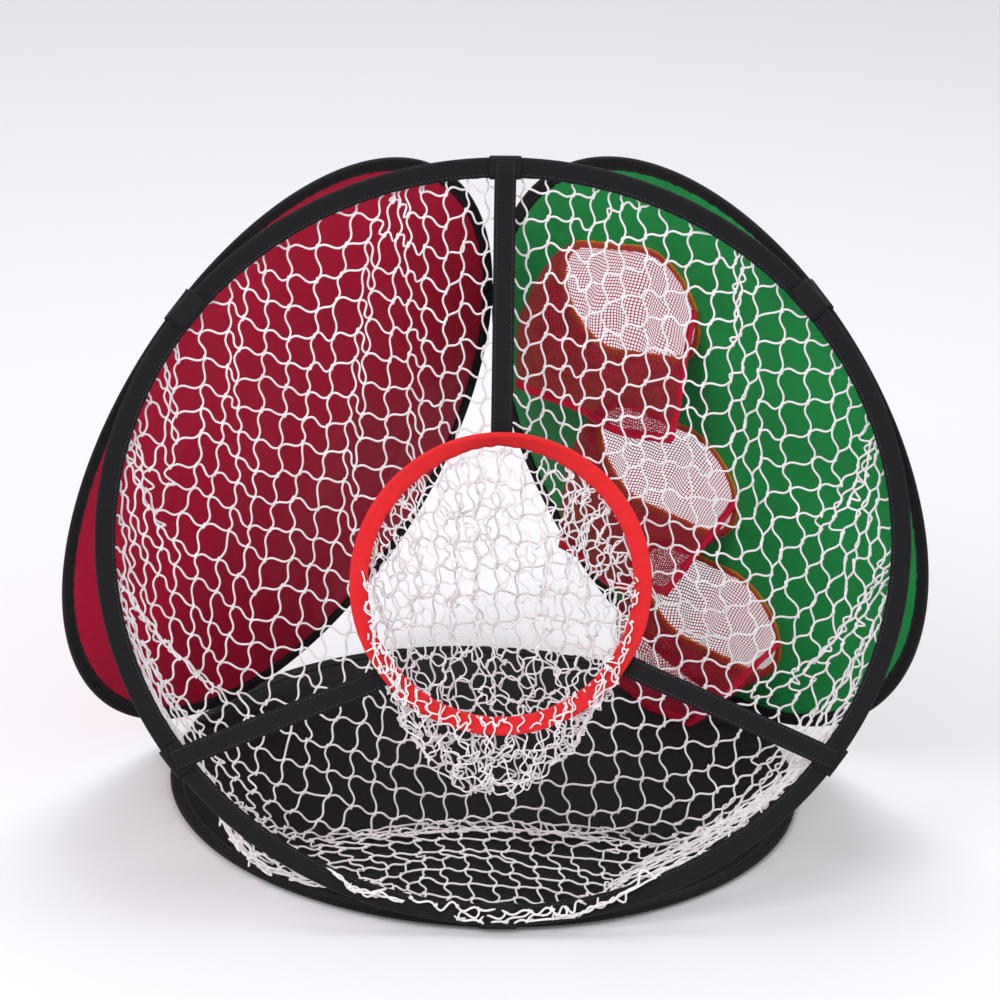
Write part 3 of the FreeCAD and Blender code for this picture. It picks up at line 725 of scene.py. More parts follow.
class Net:
    """A round net of wavy square cells: its flat cut, its hanging nodes and its yarn."""

    def __init__(self, half_width, half_height, cell_width, cell_height, uneven, seed):
        self.half_width, self.half_height = half_width, half_height
        self.cell_width, self.cell_height = cell_width, cell_height
        columns = int(half_width / cell_width) + 1
        rows = int(half_height / cell_height) + 1
        self.nodes, self.links, self.lengths, self.kinds = [], [], [], []
        index = {}
        for row in range(-rows, rows + 1):
            for column in range(-columns, columns + 1):
                x, y = column * cell_width, row * cell_height
                if (x / half_width) ** 2 + (y / half_height) ** 2 < 1:
                    index[row, column] = len(self.nodes)
                    self.nodes.append((x, y))
        self.inner = len(self.nodes)
        for (row, column), start in list(index.items()):
            x, y = self.nodes[start]
            for step_row, step_column, kind in ((0, 1, 0), (1, 0, 1), (0, -1, 0), (-1, 0, 1)):
                other = index.get((row + step_row, column + step_column))
                length = cell_width if kind == 0 else cell_height
                if other is not None:
                    if step_row + step_column > 0:
                        self.add_link(start, other, length, kind)
                    continue
                edge = self.edge_point(x, y, step_column, step_row, half_width, half_height)
                reach = math.hypot(edge[0] - x, edge[1] - y)
                self.nodes.append(edge)
                self.add_link(start, len(self.nodes) - 1, max(reach, 0.35 * length), kind)
        self.nodes = np.array(self.nodes)
        self.links = np.array(self.links)
        rng = np.random.default_rng(seed)
        spread = 1 + uneven * rng.standard_normal(len(self.links))
        self.lengths = np.array(self.lengths) * np.clip(spread, 0.6, 1.6)
        self.kinds = np.array(self.kinds)
        self.pinned = np.arange(len(self.nodes)) >= self.inner

    def add_link(self, start, end, length, kind):
        self.links.append((start, end))
        self.lengths.append(length)
        self.kinds.append(kind)

    @staticmethod
    def edge_point(x, y, step_x, step_y, half_width, half_height):
        """Where a straight run from a node along one axis leaves the net's oval cut."""
        if step_x:
            return math.copysign(half_width * math.sqrt(1 - (y / half_height) ** 2), step_x), y
        return x, math.copysign(half_height * math.sqrt(1 - (x / half_width) ** 2), step_y)


def yarn_paths(points, net, wave, seed, steps, wild=1.0):
    """A wavy curve for each link, with the same swing on both sides of a knot.

    wave is the least extra length of a curve over its straight run, as a share of that run, and wild
    says how far one link's curve differs from the next one's.
    """
    rng = np.random.default_rng(seed)
    start, end = points[net.links[:, 0]], points[net.links[:, 1]]
    chord = end - start
    size = np.maximum(np.linalg.norm(chord, axis=1), 1e-6)[:, None]
    along = chord / size
    count = len(start)
    face = net_normals(points, net)
    face = face[net.links[:, 0]] + face[net.links[:, 1]]
    face -= (face * along).sum(1)[:, None] * along
    face /= np.maximum(np.linalg.norm(face, axis=1), 1e-6)[:, None]
    side = np.cross(face, along)
    t = np.linspace(0, 1, steps)[None, :, None]
    swing, bow = np.sin(FULL_TURN * t), np.sin(math.pi * t)
    sense = np.where(net.kinds == 0, 1.0, -0.75) * (1 + 0.35 * wild * rng.standard_normal(count))
    belly = 0.3 * wild * rng.standard_normal(count)
    deep = 0.35 * wild * rng.standard_normal(count)
    slack = np.clip(net.lengths / size[:, 0] - 1.05, 0, 2)
    sag = 0.5 * slack
    shape = (side[:, None] * (sense[:, None, None] * swing + belly[:, None, None] * 1.3 * bow)
             + face[:, None] * (deep[:, None, None] * swing)
             - UP * sag[:, None, None] * bow)
    straight = start[:, None] + chord[:, None] * t
    aim = np.maximum(net.lengths, size[:, 0] * (1 + wave))
    amplitude = 0.1 * net.lengths
    for _ in range(6):
        curve = straight + shape * amplitude[:, None, None]
        length = np.linalg.norm(np.diff(curve, axis=1), axis=2).sum(axis=1)
        growth = np.clip((aim - size[:, 0]) / np.maximum(length - size[:, 0], 1e-6), 0.2, 4)
        amplitude = np.clip(amplitude * np.sqrt(growth), 0.0002, 0.38 * net.lengths)
    return straight + shape * amplitude[:, None, None]


def net_normals(points, net):
    """A rough facing for each node, from the runs of its two kinds of link."""
    across, down = np.zeros_like(points), np.zeros_like(points)
    chord = points[net.links[:, 1]] - points[net.links[:, 0]]
    flat = net.nodes[net.links[:, 1]] - net.nodes[net.links[:, 0]]
    sign = np.where(net.kinds == 0, np.sign(flat[:, 0]), np.sign(flat[:, 1]))
    chord = chord * sign[:, None]
    for kind, total in ((0, across), (1, down)):
        mine = net.kinds == kind
        for end in (0, 1):
            for axis in range(3):
                total[:, axis] += np.bincount(net.links[mine, end], chord[mine, axis], len(points))
    face = np.cross(across, down)
    empty = np.linalg.norm(face, axis=1) < 1e-12
    face[empty] = HOOP.n
    return face / np.linalg.norm(face, axis=1)[:, None]


def tubes(name, paths, radius, sides, material):
    """Round yarn along many equal-length paths, all in one mesh."""
    count, steps, _ = paths.shape
    along = np.gradient(paths, axis=1)
    along /= np.maximum(np.linalg.norm(along, axis=2), 1e-9)[..., None]
    helper = np.where(np.abs(along[:, :1, 2:3]) > 0.8, [[[1.0, 0, 0]]], [[[0, 0, 1.0]]])
    frame_x = np.zeros_like(paths)
    current = np.cross(helper[:, 0], along[:, 0])
    current /= np.maximum(np.linalg.norm(current, axis=1), 1e-9)[:, None]
    for step in range(steps):
        current = current - (current * along[:, step]).sum(1)[:, None] * along[:, step]
        current /= np.maximum(np.linalg.norm(current, axis=1), 1e-9)[:, None]
        frame_x[:, step] = current
    frame_y = np.cross(along, frame_x)
    turn = np.linspace(0, FULL_TURN, sides, endpoint=False)
    thick = np.broadcast_to(np.asarray(radius, float), (count, steps))[..., None, None]
    verts = (paths[:, :, None] + thick * (np.cos(turn)[:, None] * frame_x[:, :, None]
                                          + np.sin(turn)[:, None] * frame_y[:, :, None]))
    faces, rows, columns = grid_faces(steps, sides, wrap_columns=True)
    blocks = (faces[None] + (np.arange(count) * steps * sides)[:, None, None]).reshape(-1, 4)
    run = np.concatenate([np.zeros((count, 1)), np.cumsum(
        np.linalg.norm(np.diff(paths, axis=1), axis=2), axis=1)], 1)
    around = columns * FULL_TURN * float(np.mean(radius)) / sides
    uvs = np.stack([np.broadcast_to(around, (count, *around.shape)), run[:, rows]], -1)
    return make_object(name, verts.reshape(-1, 3), blocks, uvs.reshape(-1, 4, 2), material)


def knots(name, points, directions, radius, material):
    """Small drawn-together lumps where the yarns of a net are knitted into each other."""
    rings, sides = 5, 6
    rng = np.random.default_rng(5)
    size = radius * rng.uniform(0.9, 1.2, len(points))
    span = np.linspace(-1, 1, rings)
    lengthwise = size[:, None] * 2.0 * span
    directions = directions / np.maximum(np.linalg.norm(directions, axis=1), 1e-9)[:, None]
    paths = points[:, None] + directions[:, None] * lengthwise[..., None]
    thick = size[:, None] * np.sqrt(np.clip(1.02 - span ** 2, 0, 1))
    return tubes(name, paths, thick, sides, material)


# Assembly ---------------------------------------------------------------------------------------

BAND = {"hoop": 0.016, "panel": 0.012, "target": 0.0145}
THICK = {"hoop": 0.006, "panel": 0.005, "target": 0.005}

make_camera()
make_studio()

# name, colour, thread pitch in metres, roughness, sheen, contrast between threads
BLACK_TAPE = (0.0065, 0.0065, 0.0085)
black_tape = woven("black_tape", BLACK_TAPE, 0.0011, 0.75, 0.03, 0.5, bump=0.35)
black_cloth_look = woven("black_cloth_weave", (0.0065, 0.0065, 0.008), 0.0008, 0.8, 0.02, 0.4)
black_webbing = woven("black_webbing_weave", BLACK_TAPE, 0.0016, 0.72, 0.03, 0.55, bump=0.5,
                      weft_share=0.6)
red_cloth_look = woven("red_cloth_weave", (0.54, 0.005, 0.042), 0.0008, 0.65, 0.02, 0.12)
green_cloth_look = woven("green_cloth_weave", (0.012, 0.30, 0.065), 0.0008, 0.65, 0.02, 0.12)
target_red = woven("target_red_weave", (0.74, 0.014, 0.018), 0.0008, 0.6, 0.04, 0.12, bump=0.3)
yellow_tape = woven("yellow_tape_weave", (0.66, 0.25, 0.02), 0.0011, 0.7, 0.04, 0.3, bump=0.4)
black_thread = twine("black_thread", (0.03, 0.03, 0.035), 0.0006)
red_thread = twine("red_thread", (0.26, 0.003, 0.006), 0.0006)
wire_steel = steel("spring_steel_finish")


def wire_line(plane, half, thick):
    return Oval(plane, half[0] - thick / 2, half[1] - thick / 2)


HOOP_LINE = wire_line(HOOP, HOOP_HALF, THICK["hoop"])
TARGET_LINE = wire_line(TARGET, TARGET_HALF, THICK["panel"])
PANELS = {"red": RED, "green": GREEN, "black": BLACK}
BODY = {"red": "red_panel", "green": "green_panel", "black": "base"}
PANEL_LINES = {name: wire_line(plane, PANEL_HALF, THICK["panel"]) for name, plane in PANELS.items()}

build_sleeve("hoop_sleeve_sewn", HOOP_LINE, BAND["hoop"], THICK["hoop"], black_tape, black_thread,
             "frame", ["hoop_sleeve"], 11)
for number, (name, line) in enumerate(PANEL_LINES.items()):
    build_sleeve(f"{name}_binding_sewn", line, BAND["panel"], THICK["panel"], black_tape, black_thread,
                 BODY[name], [f"{name}_binding"], 21 + number, size=0.0004, waves=(83, 113, 151, 187))
build_sleeve("target_sleeve_sewn", TARGET_LINE, BAND["target"], THICK["target"], target_red, red_thread,
             "target", ["target_sleeve"], 31, size=0.0006,
             waves=(31, 43, 59, 71), twist=(math.radians(48), math.radians(92), math.radians(30)))


def hole_places():
    """The green panel's three holes as planes of their own, from their bindings' nodes."""
    places = {}
    for name in ("top", "middle", "bottom"):
        points = GREEN.local(node_points(f"hole_binding_{name}"))[:, :2]
        center = (points.max(axis=0) + points.min(axis=0)) / 2
        longest = np.linalg.svd(points - points.mean(axis=0), full_matrices=False)[2][0]
        turn = math.atan2(longest[1], longest[0])
        turn = (turn + math.pi / 2) % math.pi - math.pi / 2
        places[name] = GREEN.moved(center[0], center[1]).turned(turn)
    return places


HOLES = hole_places()


def hole_in_green(name, grow):
    outline = slot_outline(HOLE_LENGTH + grow, HOLE_HEIGHT + grow, CLOTH_STEP)
    place = HOLES[name]
    return GREEN.local(place.at(outline[:, 0], outline[:, 1]))[:, :2]


cloth_radius = PANEL_HALF[0] - BAND["panel"] + 0.002
green_holes = [hole_in_green(name, 0.001) for name in HOLES]
red_piece = build_cloth("red_cloth_taut", RED, cloth_radius, red_cloth_look, "red_panel", "red_cloth", 41,
                        crease=(0.020, -0.015, 0.155))
green_piece = build_cloth("green_cloth_taut", GREEN, cloth_radius, green_cloth_look, "green_panel",
                          "green_cloth", 42, holes=green_holes)
black_piece = build_cloth("black_cloth_taut", BLACK, cloth_radius, black_cloth_look, "base",
                          "black_cloth", 43, slack=0.0006)

for name in [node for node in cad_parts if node.endswith(("_wire", "_ferrule"))]:
    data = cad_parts[name].data
    data.materials.clear()
    data.materials.append(wire_steel)


def place_of(node, plane):
    """A node's middle in a plane's own coordinates."""
    low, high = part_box(node)
    return plane.local((np.array(low) + np.array(high)) / 2)


def loop_at(node, plane, kind, width, body):
    """The woven loop that stands for one of the CAD's webbing loops."""
    x, y, _ = place_of(node, plane)
    if plane is HOOP:
        a, b = HOOP_HALF
        direction = math.atan2(y / b ** 2, x / a ** 2)
    else:
        direction = math.atan2(y, x)
    loop = loop_round(plane, x, y, direction, BAND[kind], THICK[kind], width, f"{node}_woven")
    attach(loop, body)
    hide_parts(node)


for side in ("top", "left", "right"):
    loop_at(f"strap_tab_{side}", HOOP, "hoop", TAB_WIDTH, "frame")
for name in ("red", "green", "black"):
    loop_at(f"hoop_tie_{name}", HOOP, "hoop", TIE_WIDTH, "frame")
    loop_at(f"{name}_tie", PANELS[name], "panel", TIE_WIDTH, BODY[name])
for node, name in (("tie_black_red", "black"), ("tie_black_green", "black"), ("tie_red_green", "red")):
    loop_at(node, PANELS[name], "panel", NEIGHBOUR_TIE_WIDTH, BODY[name])


# Straps and the webbing that joins the discs to the hoop ------------------------------------------


def smooth_run(corners, count):
    """Evenly spaced points of a smooth curve through a few corners."""
    corners = np.asarray(corners, float)
    run = np.concatenate([[0], np.cumsum(np.linalg.norm(np.diff(corners, axis=0), axis=1))])
    slopes = np.gradient(corners, run, axis=0)
    place = np.linspace(0, run[-1], count)
    index = np.clip(np.searchsorted(run, place, side="right") - 1, 0, len(run) - 2)
    span = (run[index + 1] - run[index])[:, None]
    t = ((place - run[index]) / span[:, 0])[:, None]
    start, end = corners[index], corners[index + 1]
    return ((2 * t ** 3 - 3 * t ** 2 + 1) * start + (t ** 3 - 2 * t ** 2 + t) * span * slopes[index]
            + (3 * t ** 2 - 2 * t ** 3) * end + (t ** 3 - t ** 2) * span * slopes[index + 1])


STRAP_WIDTH = 0.0165
STRAP_THICK = 0.0012


def build_strap(side, ring_angle, bow):
    """A strap from the hoop, where its tab wraps the sleeve, to the back of the target ring."""
    x, y, _ = place_of(f"strap_tab_{side}", HOOP)
    ring_x, ring_y, _ = HOOP.local(TARGET.origin)
    turn = math.radians(ring_angle)
    outward = np.array([math.cos(turn), math.sin(turn)])
    inner = np.array([ring_x, ring_y]) + outward * (TARGET_HALF[0] - 0.5 * BAND["target"])
    outer = np.array([ring_x, ring_y]) + outward * (TARGET_HALF[0] + 0.003)
    tab = np.array([x, y])
    run = unit(tab - outer)
    edge = tab - run * (BAND["hoop"] / 2 + 0.004)
    corners = [HOOP.at(*inner, -0.0042), HOOP.at(*(inner + (outer - inner) * 0.6), -0.0043),
               HOOP.at(*(outer + run * 0.010), -0.0028), HOOP.at(*(outer + (edge - outer) * 0.35), bow),
               HOOP.at(*(outer + (edge - outer) * 0.7), bow), HOOP.at(*edge, 0.0026),
               HOOP.at(*(tab - run * 0.004), 0.0046), HOOP.at(*(tab + run * 0.005), 0.0044)]
    points = smooth_run(corners, 90)
    across = -run[1] * HOOP.x + run[0] * HOOP.y
    strap = ribbon(f"strap_{side}_woven", points, across, STRAP_WIDTH, STRAP_THICK, black_webbing,
                   rows=11)
    pieces = [strap]
    for edge_side in (-1, 1):
        shift = across * edge_side * (STRAP_WIDTH / 2 - 0.0022)
        lift = unit(np.cross(across, points[-1] - points[0])) * (STRAP_THICK / 2)
        lift = lift if lift @ HOOP.n > 0 else -lift
        pieces.append(dashes(f"strap_{side}_seam_{'left' if edge_side < 0 else 'right'}",
                             points + shift + lift, black_thread))
    for piece in pieces:
        tuple(HOOP.at(*edge, 0))
        tuple(HOOP.at(*outer, 0))
        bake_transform(piece)
    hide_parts(f"strap_{side}", f"ring_loop_{side}")


def dashes(name, points, material):
    """Raised stitches along an open line."""
    run = np.concatenate([[0], np.cumsum(np.linalg.norm(np.diff(points, axis=0), axis=1))])
    count = int(run[-1] / STITCH_PITCH)
    ends = (np.arange(count)[:, None] + 0.5 + STITCH_SHARE / 2 * np.linspace(-1, 1, 5)[None, :]) * STITCH_PITCH
    paths = np.stack([np.interp(ends, run, points[:, axis]) for axis in range(3)], -1)
    return tubes(name, paths, THREAD, 5, material)


def build_bridge(name):
    """The webbing between a disc's tie and the hoop's tie, bowed a little outwards in the middle."""
    x, y, _ = place_of(f"hoop_tie_{name}", HOOP)
    hoop_out = unit(np.array([x, y]))
    panel = PANELS[name]
    px, py, _ = place_of(f"{name}_tie", panel)
    panel_out = unit(np.array([px, py]))
    a = HOOP.at(x + hoop_out[0] * 0.002, y + hoop_out[1] * 0.002, -0.0042)
    b = HOOP.at(x + hoop_out[0] * 0.0095, y + hoop_out[1] * 0.0095, -0.0040)
    c = panel.at(px + panel_out[0] * 0.0075, py + panel_out[1] * 0.0075, 0.0036)
    d = panel.at(px - panel_out[0] * 0.001, py - panel_out[1] * 0.001, 0.0037)
    middle = (b + c) / 2
    outward = unit(middle - (HOOP.origin + panel.origin) / 2)
    points = smooth_run([a, b, middle + 0.0015 * outward, c, d], 40)
    across = -hoop_out[1] * HOOP.x + hoop_out[0] * HOOP.y
    bridge = ribbon(f"hinge_{name}_woven", points, across, 0.026, 0.0010, black_webbing, rows=11)
    if name == "black":
        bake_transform(bridge)
    else:
        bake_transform(bridge)


build_strap("top", 90.7, -0.0006)
build_strap("left", 219, -0.0012)
build_strap("right", 328.2, -0.0012)
for name in PANELS:
    build_bridge(name)


# Pockets of mesh under the green panel's holes --------------------------------------------------

MESH_PITCH = 0.0026
MESH_OPEN = 0.70
MOUTH_COVER = 0.011
TAPE = 0.0072
TAPE_THICK = 0.0013


def slot_point(share, length, height):
    """A place on a slot's outline by share of its length, from the right end round over the top."""
    radius = height / 2
    half = length / 2 - radius
    run = (np.asarray(share, float) % 1) * (4 * half + FULL_TURN * radius)
    quarter = math.pi / 2 * radius
    marks = np.cumsum([quarter, 2 * half, 2 * quarter, 2 * half])
    stretches = [run < mark for mark in marks]
    right, left = run / radius, math.pi / 2 + (run - marks[1]) / radius
    last = -math.pi / 2 + (run - marks[3]) / radius
    x = np.select(stretches, [half + radius * np.cos(right), half - (run - marks[0]),
                              -half + radius * np.cos(left), -half + (run - marks[2])],
                  half + radius * np.cos(last))
    y = np.select(stretches, [radius * np.sin(right), np.full_like(run, radius),
                              radius * np.sin(left), np.full_like(run, -radius)],
                  radius * np.sin(last))
    return x, y


class Pouch:
    """A mesh bag sewn round one hole: its front hangs from the hole's top edge down to a hem."""

    def __init__(self, name, hem_left, hem_right, hem_bow, belly, spread, seed):
        self.spread = spread
        self.place = HOLES[name]
        self.left = GREEN.at(*hem_left)
        self.right = GREEN.at(*hem_right)
        self.bow = hem_bow
        self.belly = belly
        self.seed = seed

    def hem(self, share, layer):
        """A point of the hem: share runs from its left end, 0, to its right end, 1."""
        share = np.asarray(share, float)[..., None]
        line = self.left + (self.right - self.left) * share
        line = line + self.bow * np.sin(math.pi * share) + layer * 0.0007 * GREEN.n
        return line + GREEN.n * 0.004 * np.sin(FULL_TURN * 1.5 * share + self.seed)

    def pattern(self):
        """The flat cut: two mesh panels side by side, from the hole's upper and lower edge to the hem.

        Returns its width, its length and the area of its strands, without the openings between them."""
        mouth_half = HOLE_LENGTH - HOLE_HEIGHT + math.pi / 2 * HOLE_HEIGHT
        hem_length = np.linalg.norm(self.right - self.left)
        panel_width = (mouth_half + hem_length) / 2
        hem_middle = (self.left + self.right) / 2 + self.bow
        falls = [np.linalg.norm(self.place.at(0.0, side * HOLE_HEIGHT / 2, 0.0) - hem_middle)
                 for side in (1, -1)]
        strand_share = 1 - MESH_OPEN ** 2
        return 2 * panel_width, max(falls), panel_width * sum(falls) * strand_share

    def point(self, around, down):
        """The bag's surface: around is the share of the mouth's length, down runs 0 to 1."""
        around, down = np.broadcast_arrays(np.asarray(around, float), np.asarray(down, float))
        x, y = slot_point(around, HOLE_LENGTH + MOUTH_COVER, HOLE_HEIGHT + MOUTH_COVER)
        mouth = self.place.at(x, y, 0.0026)
        front = around < 0.5
        share = np.where(front, 1 - 2 * around, 2 * around - 1)
        hem = self.hem(np.clip(share, 0, 1), np.where(front, 1.0, -1.0)[..., None])
        ease = down ** 1.15
        surface = mouth + (hem - mouth) * ease[..., None]
        hang = np.sin(math.pi * np.clip(down, 0, 1)) * np.sin(math.pi * share) ** 0.7
        out = np.where(front, self.belly, 0.25 * self.belly) * hang
        surface = surface + GREEN.n * out[..., None]
        sideways = self.spread * np.sin(math.pi * np.clip(down, 0, 1) ** 0.7) * (1 - share) ** 1.5
        surface = surface - GREEN.x * sideways[..., None]
        side = np.abs(share - 0.5) * 2
        wave = (0.0035 * np.sin(FULL_TURN * (3.2 * share + 0.35 * down) + self.seed)
                + 0.0020 * np.sin(FULL_TURN * (7.1 * share - 0.8 * down) + 2 * self.seed)
                + 0.0012 * np.sin(FULL_TURN * (1.7 * share + 4.3 * down) + 3 * self.seed))
        amount = np.sin(math.pi * np.clip(down * 0.9 + 0.06, 0, 1)) * (1 - 0.5 * side ** 4)
        surface = surface + GREEN.n * (wave * amount)[..., None]
        lowest = BLACK.local(surface)[..., 2]
        return surface + BLACK.n * np.maximum(0.0015 - lowest, 0)[..., None]


def mesh_of_strands(name, surface, columns, rows, material):
    """A knitted mesh: square holes between strands, one cell for each step of the surface."""
    around = np.linspace(0, 1, columns + 1)[None, :]
    down = np.linspace(0, 1, rows + 1)[:, None]
    corner = surface.point(*np.broadcast_arrays(around, down))
    middle = (corner[:-1, :-1] + corner[1:, :-1] + corner[:-1, 1:] + corner[1:, 1:]) / 4
    faces, grid_rows, grid_columns = grid_faces(rows + 1, columns + 1)
    flat = corner.reshape(-1, 3)
    count = len(flat)
    cells = len(faces)
    center = middle.reshape(-1, 1, 3)
    inner = center + (flat[faces] - center) * MESH_OPEN
    across = flat[faces[:, 2]] - flat[faces[:, 0]]
    other = flat[faces[:, 3]] - flat[faces[:, 1]]
    normal = np.cross(across, other)
    normal /= np.maximum(np.linalg.norm(normal, axis=1), 1e-12)[:, None]
    inner = inner + normal[:, None] * 0.00018
    verts = np.concatenate([flat, inner.reshape(-1, 3)])
    inner_index = count + np.arange(cells * 4).reshape(cells, 4)
    quads, uvs = [], []
    spot = np.stack([grid_columns, grid_rows], -1) * MESH_PITCH
    spot_middle = spot.mean(axis=1, keepdims=True)
    spot_inner = spot_middle + (spot - spot_middle) * MESH_OPEN
    for corner_number in range(4):
        following = (corner_number + 1) % 4
        quads.append(np.stack([faces[:, corner_number], faces[:, following],
                               inner_index[:, following], inner_index[:, corner_number]], 1))
        uvs.append(np.stack([spot[:, corner_number], spot[:, following],
                             spot_inner[:, following], spot_inner[:, corner_number]], 1))
    return make_object(name, verts, np.concatenate(quads), np.concatenate(uvs), material)


def sewn_edge(name, plane, length, height, material, thread, seed):
    """The folded tape round a hole, with its stitches, a little uneven along its edge."""
    steps = int((2 * (length - height) + math.pi * height) / 0.0022)
    share = np.linspace(0, 1, steps, endpoint=False)
    x, y = slot_point(share, length, height)
    ahead_x, ahead_y = slot_point(share + 0.002, length, height)
    run = np.stack([ahead_x - x, ahead_y - y], 1)
    run /= np.linalg.norm(run, axis=1)[:, None]
    outward = np.stack([run[:, 1], -run[:, 0]], 1)
    upper = [(-0.0004, 0.0011), (0.001, 0.0014), (0.0034, 0.0011), (0.0054, 0.00105), (0.0059, 0.0006)]
    section = np.array([(-0.0009, 0.0)] + upper + [(x, -y) for x, y in reversed(upper)])
    wave = 0.00035 * ripple(share * FULL_TURN, seed, (23, 31, 43))
    reach = section[None, :, 0] + wave[:, None]
    lift = section[None, :, 1] + 0.5 * wave[:, None] * (section[None, :, 0] > 0.002)
    verts = plane.at(x[:, None] + reach * outward[:, :1], y[:, None] + reach * outward[:, 1:], lift)
    faces, rows, columns = grid_faces(steps, len(section), wrap_rows=True, wrap_columns=True)
    around = np.concatenate([[0], np.cumsum(np.linalg.norm(np.diff(section, axis=0), axis=1)), [0.016]])
    pitch = (2 * (length - height) + math.pi * height) / steps
    edge = make_object(name, verts.reshape(-1, 3), faces,
                       np.stack([rows * pitch, around[columns]], -1), material)
    count = int(steps * pitch / STITCH_PITCH)
    places = np.arange(count) / count
    ends = places[:, None] + np.linspace(-0.31, 0.31, 5)[None, :] / count
    x, y = slot_point(ends, length + 0.0084, height + 0.0084)
    for side in (1, -1):
        lift = side * (0.00115 + 0.00018 * np.cos(np.linspace(-1, 1, 5) * math.pi / 2))
        paths = plane.at(x, y, np.broadcast_to(lift, x.shape))
        stitches = tubes(f"{name}_stitches_{'front' if side > 0 else 'back'}", paths, 0.00024, 5, thread)
        stitches.parent = edge
    return edge


def build_pouch(name, pouch):
    mouth_length = 2 * (HOLE_LENGTH - HOLE_HEIGHT) + math.pi * HOLE_HEIGHT
    middle_line = pouch.point(np.full(40, 0.25), np.linspace(0, 1, 40))
    fall = np.linalg.norm(np.diff(middle_line, axis=0), axis=1).sum()
    columns, rows = int(mouth_length / MESH_PITCH), int(fall / MESH_PITCH)
    bag = mesh_of_strands(f"pocket_{name}_mesh", pouch, columns, rows, mesh_look)
    share = np.linspace(0, 1, 70)
    hem_line = pouch.hem(share, 0.0)
    hem_line = hem_line + BLACK.n * np.maximum(0.0035 - BLACK.local(hem_line)[..., 2], 0)[..., None]
    bottom = ribbon(f"pocket_{name}_hem_tape", hem_line, UP, TAPE, TAPE_THICK, mesh_tape, rows=7)
    depth = np.linspace(0.01, 1, 60)
    right = pouch.point(np.zeros(60), depth)
    along = unit(pouch.right - pouch.left)
    seam = ribbon(f"pocket_{name}_seam_tape", right, along, TAPE, TAPE_THICK, mesh_tape, rows=7)
    binding = sewn_edge(f"hole_{name}_tape", HOLES[name], HOLE_LENGTH, HOLE_HEIGHT, yellow_tape,
                        yellow_thread, 51 + len(name))
    for piece, node, slot in ((bag, f"pocket_{name}", "red_mesh"), (bottom, f"hem_{name}", "red_mesh"),
                              (seam, None, "red_mesh"),
                              (binding, f"hole_binding_{name}", "yellow_binding")):
        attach(piece, "green_panel")
        if node:
            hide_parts(node)
    width, length, area = pouch.pattern()


mesh_look = woven("red_mesh_strands", (0.52, 0.010, 0.045), 0.0009, 0.75, 0.03, 0.2)
mesh_tape = woven("red_tape_weave", (0.68, 0.010, 0.045), 0.0010, 0.6, 0.03, 0.2, bump=0.4)
yellow_thread = twine("yellow_thread", (0.55, 0.22, 0.02), 0.0006)
POUCHES = {
    "top": Pouch("top", (-0.172, 0.030, 0.044), (0.026, 0.040, 0.052), -0.006 * UP, 0.016, 0.030, 1.3),
    "middle": Pouch("middle", (-0.150, -0.125, 0.046), (-0.008, -0.120, 0.050), -0.012 * UP,
                    0.014, 0.022, 2.9),
    "bottom": Pouch("bottom", (-0.100, -0.262, 0.050), (0.040, -0.214, 0.046), -0.030 * UP,
                    0.012, 0.016, 4.4),
}
for pouch_name, pouch in POUCHES.items():
    build_pouch(pouch_name, pouch)


# Nets in place ----------------------------------------------------------------------------------

white_yarn = twine("white_yarn", (0.95, 0.90, 0.92), 0.0012)
YARN = 0.00085
TARGET_YARN = 0.8 * YARN
CLOTH_GAP = 0.004
CATCH_CELL = (0.0195, 0.0225)
CATCH_SLACK = np.array([1.30, 1.50])
CATCH_UNEVEN = 0.12
TARGET_CELL = (0.0140, 0.0158)
TARGET_SLACK = 1.72
TARGET_UNEVEN = 0.24


def above_panels(points):
    """Keep a net inside: above the black disc and clear of the red and green discs."""
    floor_gap = BLACK.local(points)[:, 2]
    points = points + BLACK.n * np.maximum(CLOTH_GAP - floor_gap, 0)[:, None]
    for plane in (RED, GREEN):
        spot = plane.local(points)
        near = np.hypot(spot[:, 0], spot[:, 1]) < PANEL_HALF[0]
        points = points + plane.n * (np.maximum(CLOTH_GAP - spot[:, 2], 0) * near)[:, None]
    return points


def off_the_floor(paths):
    """Lift yarn that dips into the floor or into the black disc, so that it lies on them."""
    spot = BLACK.local(paths)
    on_disc = np.hypot(spot[..., 0], spot[..., 1]) < PANEL_HALF[0]
    lowest = np.where(on_disc, BLACK.origin[2] + THICK["panel"] / 2 + YARN, 2 * YARN)
    lifted = paths.copy()
    lifted[..., 2] = np.maximum(paths[..., 2], lowest)
    return lifted


def lies_on_black(points):
    return BLACK.local(points)[:, 2] < CLOTH_GAP + 0.0008


def behind_hoop(points, spilled):
    """Keep a net behind the hoop's sleeve, and in front of it where it has spilled over the bottom."""
    lift = HOOP.local(points)[:, 2]
    move = np.where(spilled, np.maximum(0.0050 - lift, 0), np.minimum(-0.0045 - lift, 0))
    return points + HOOP.n * move[:, None]


def gathered(reach, seed, amount, waves):
    """Slide a net's places round their middle, so that its edge bunches up here and there."""
    angle = np.arctan2(reach[:, 1], reach[:, 0])
    away = np.hypot(reach[:, 0], reach[:, 1])
    angle = angle + amount * ripple(angle, seed, waves) * away ** 3
    return np.stack([away * np.cos(angle), away * np.sin(angle)], 1)


def spills(reach):
    """Which nodes of the net lie over the hoop's bottom band, in front of it: its last rows there."""
    angle = np.arctan2(reach[:, 1], reach[:, 0])
    edge = 0.915 + 0.035 * ripple(angle, 77, (5, 9, 14, 22))
    return (np.hypot(reach[:, 0], reach[:, 1]) > edge) & (np.abs(np.degrees(angle) + 91) < 26)


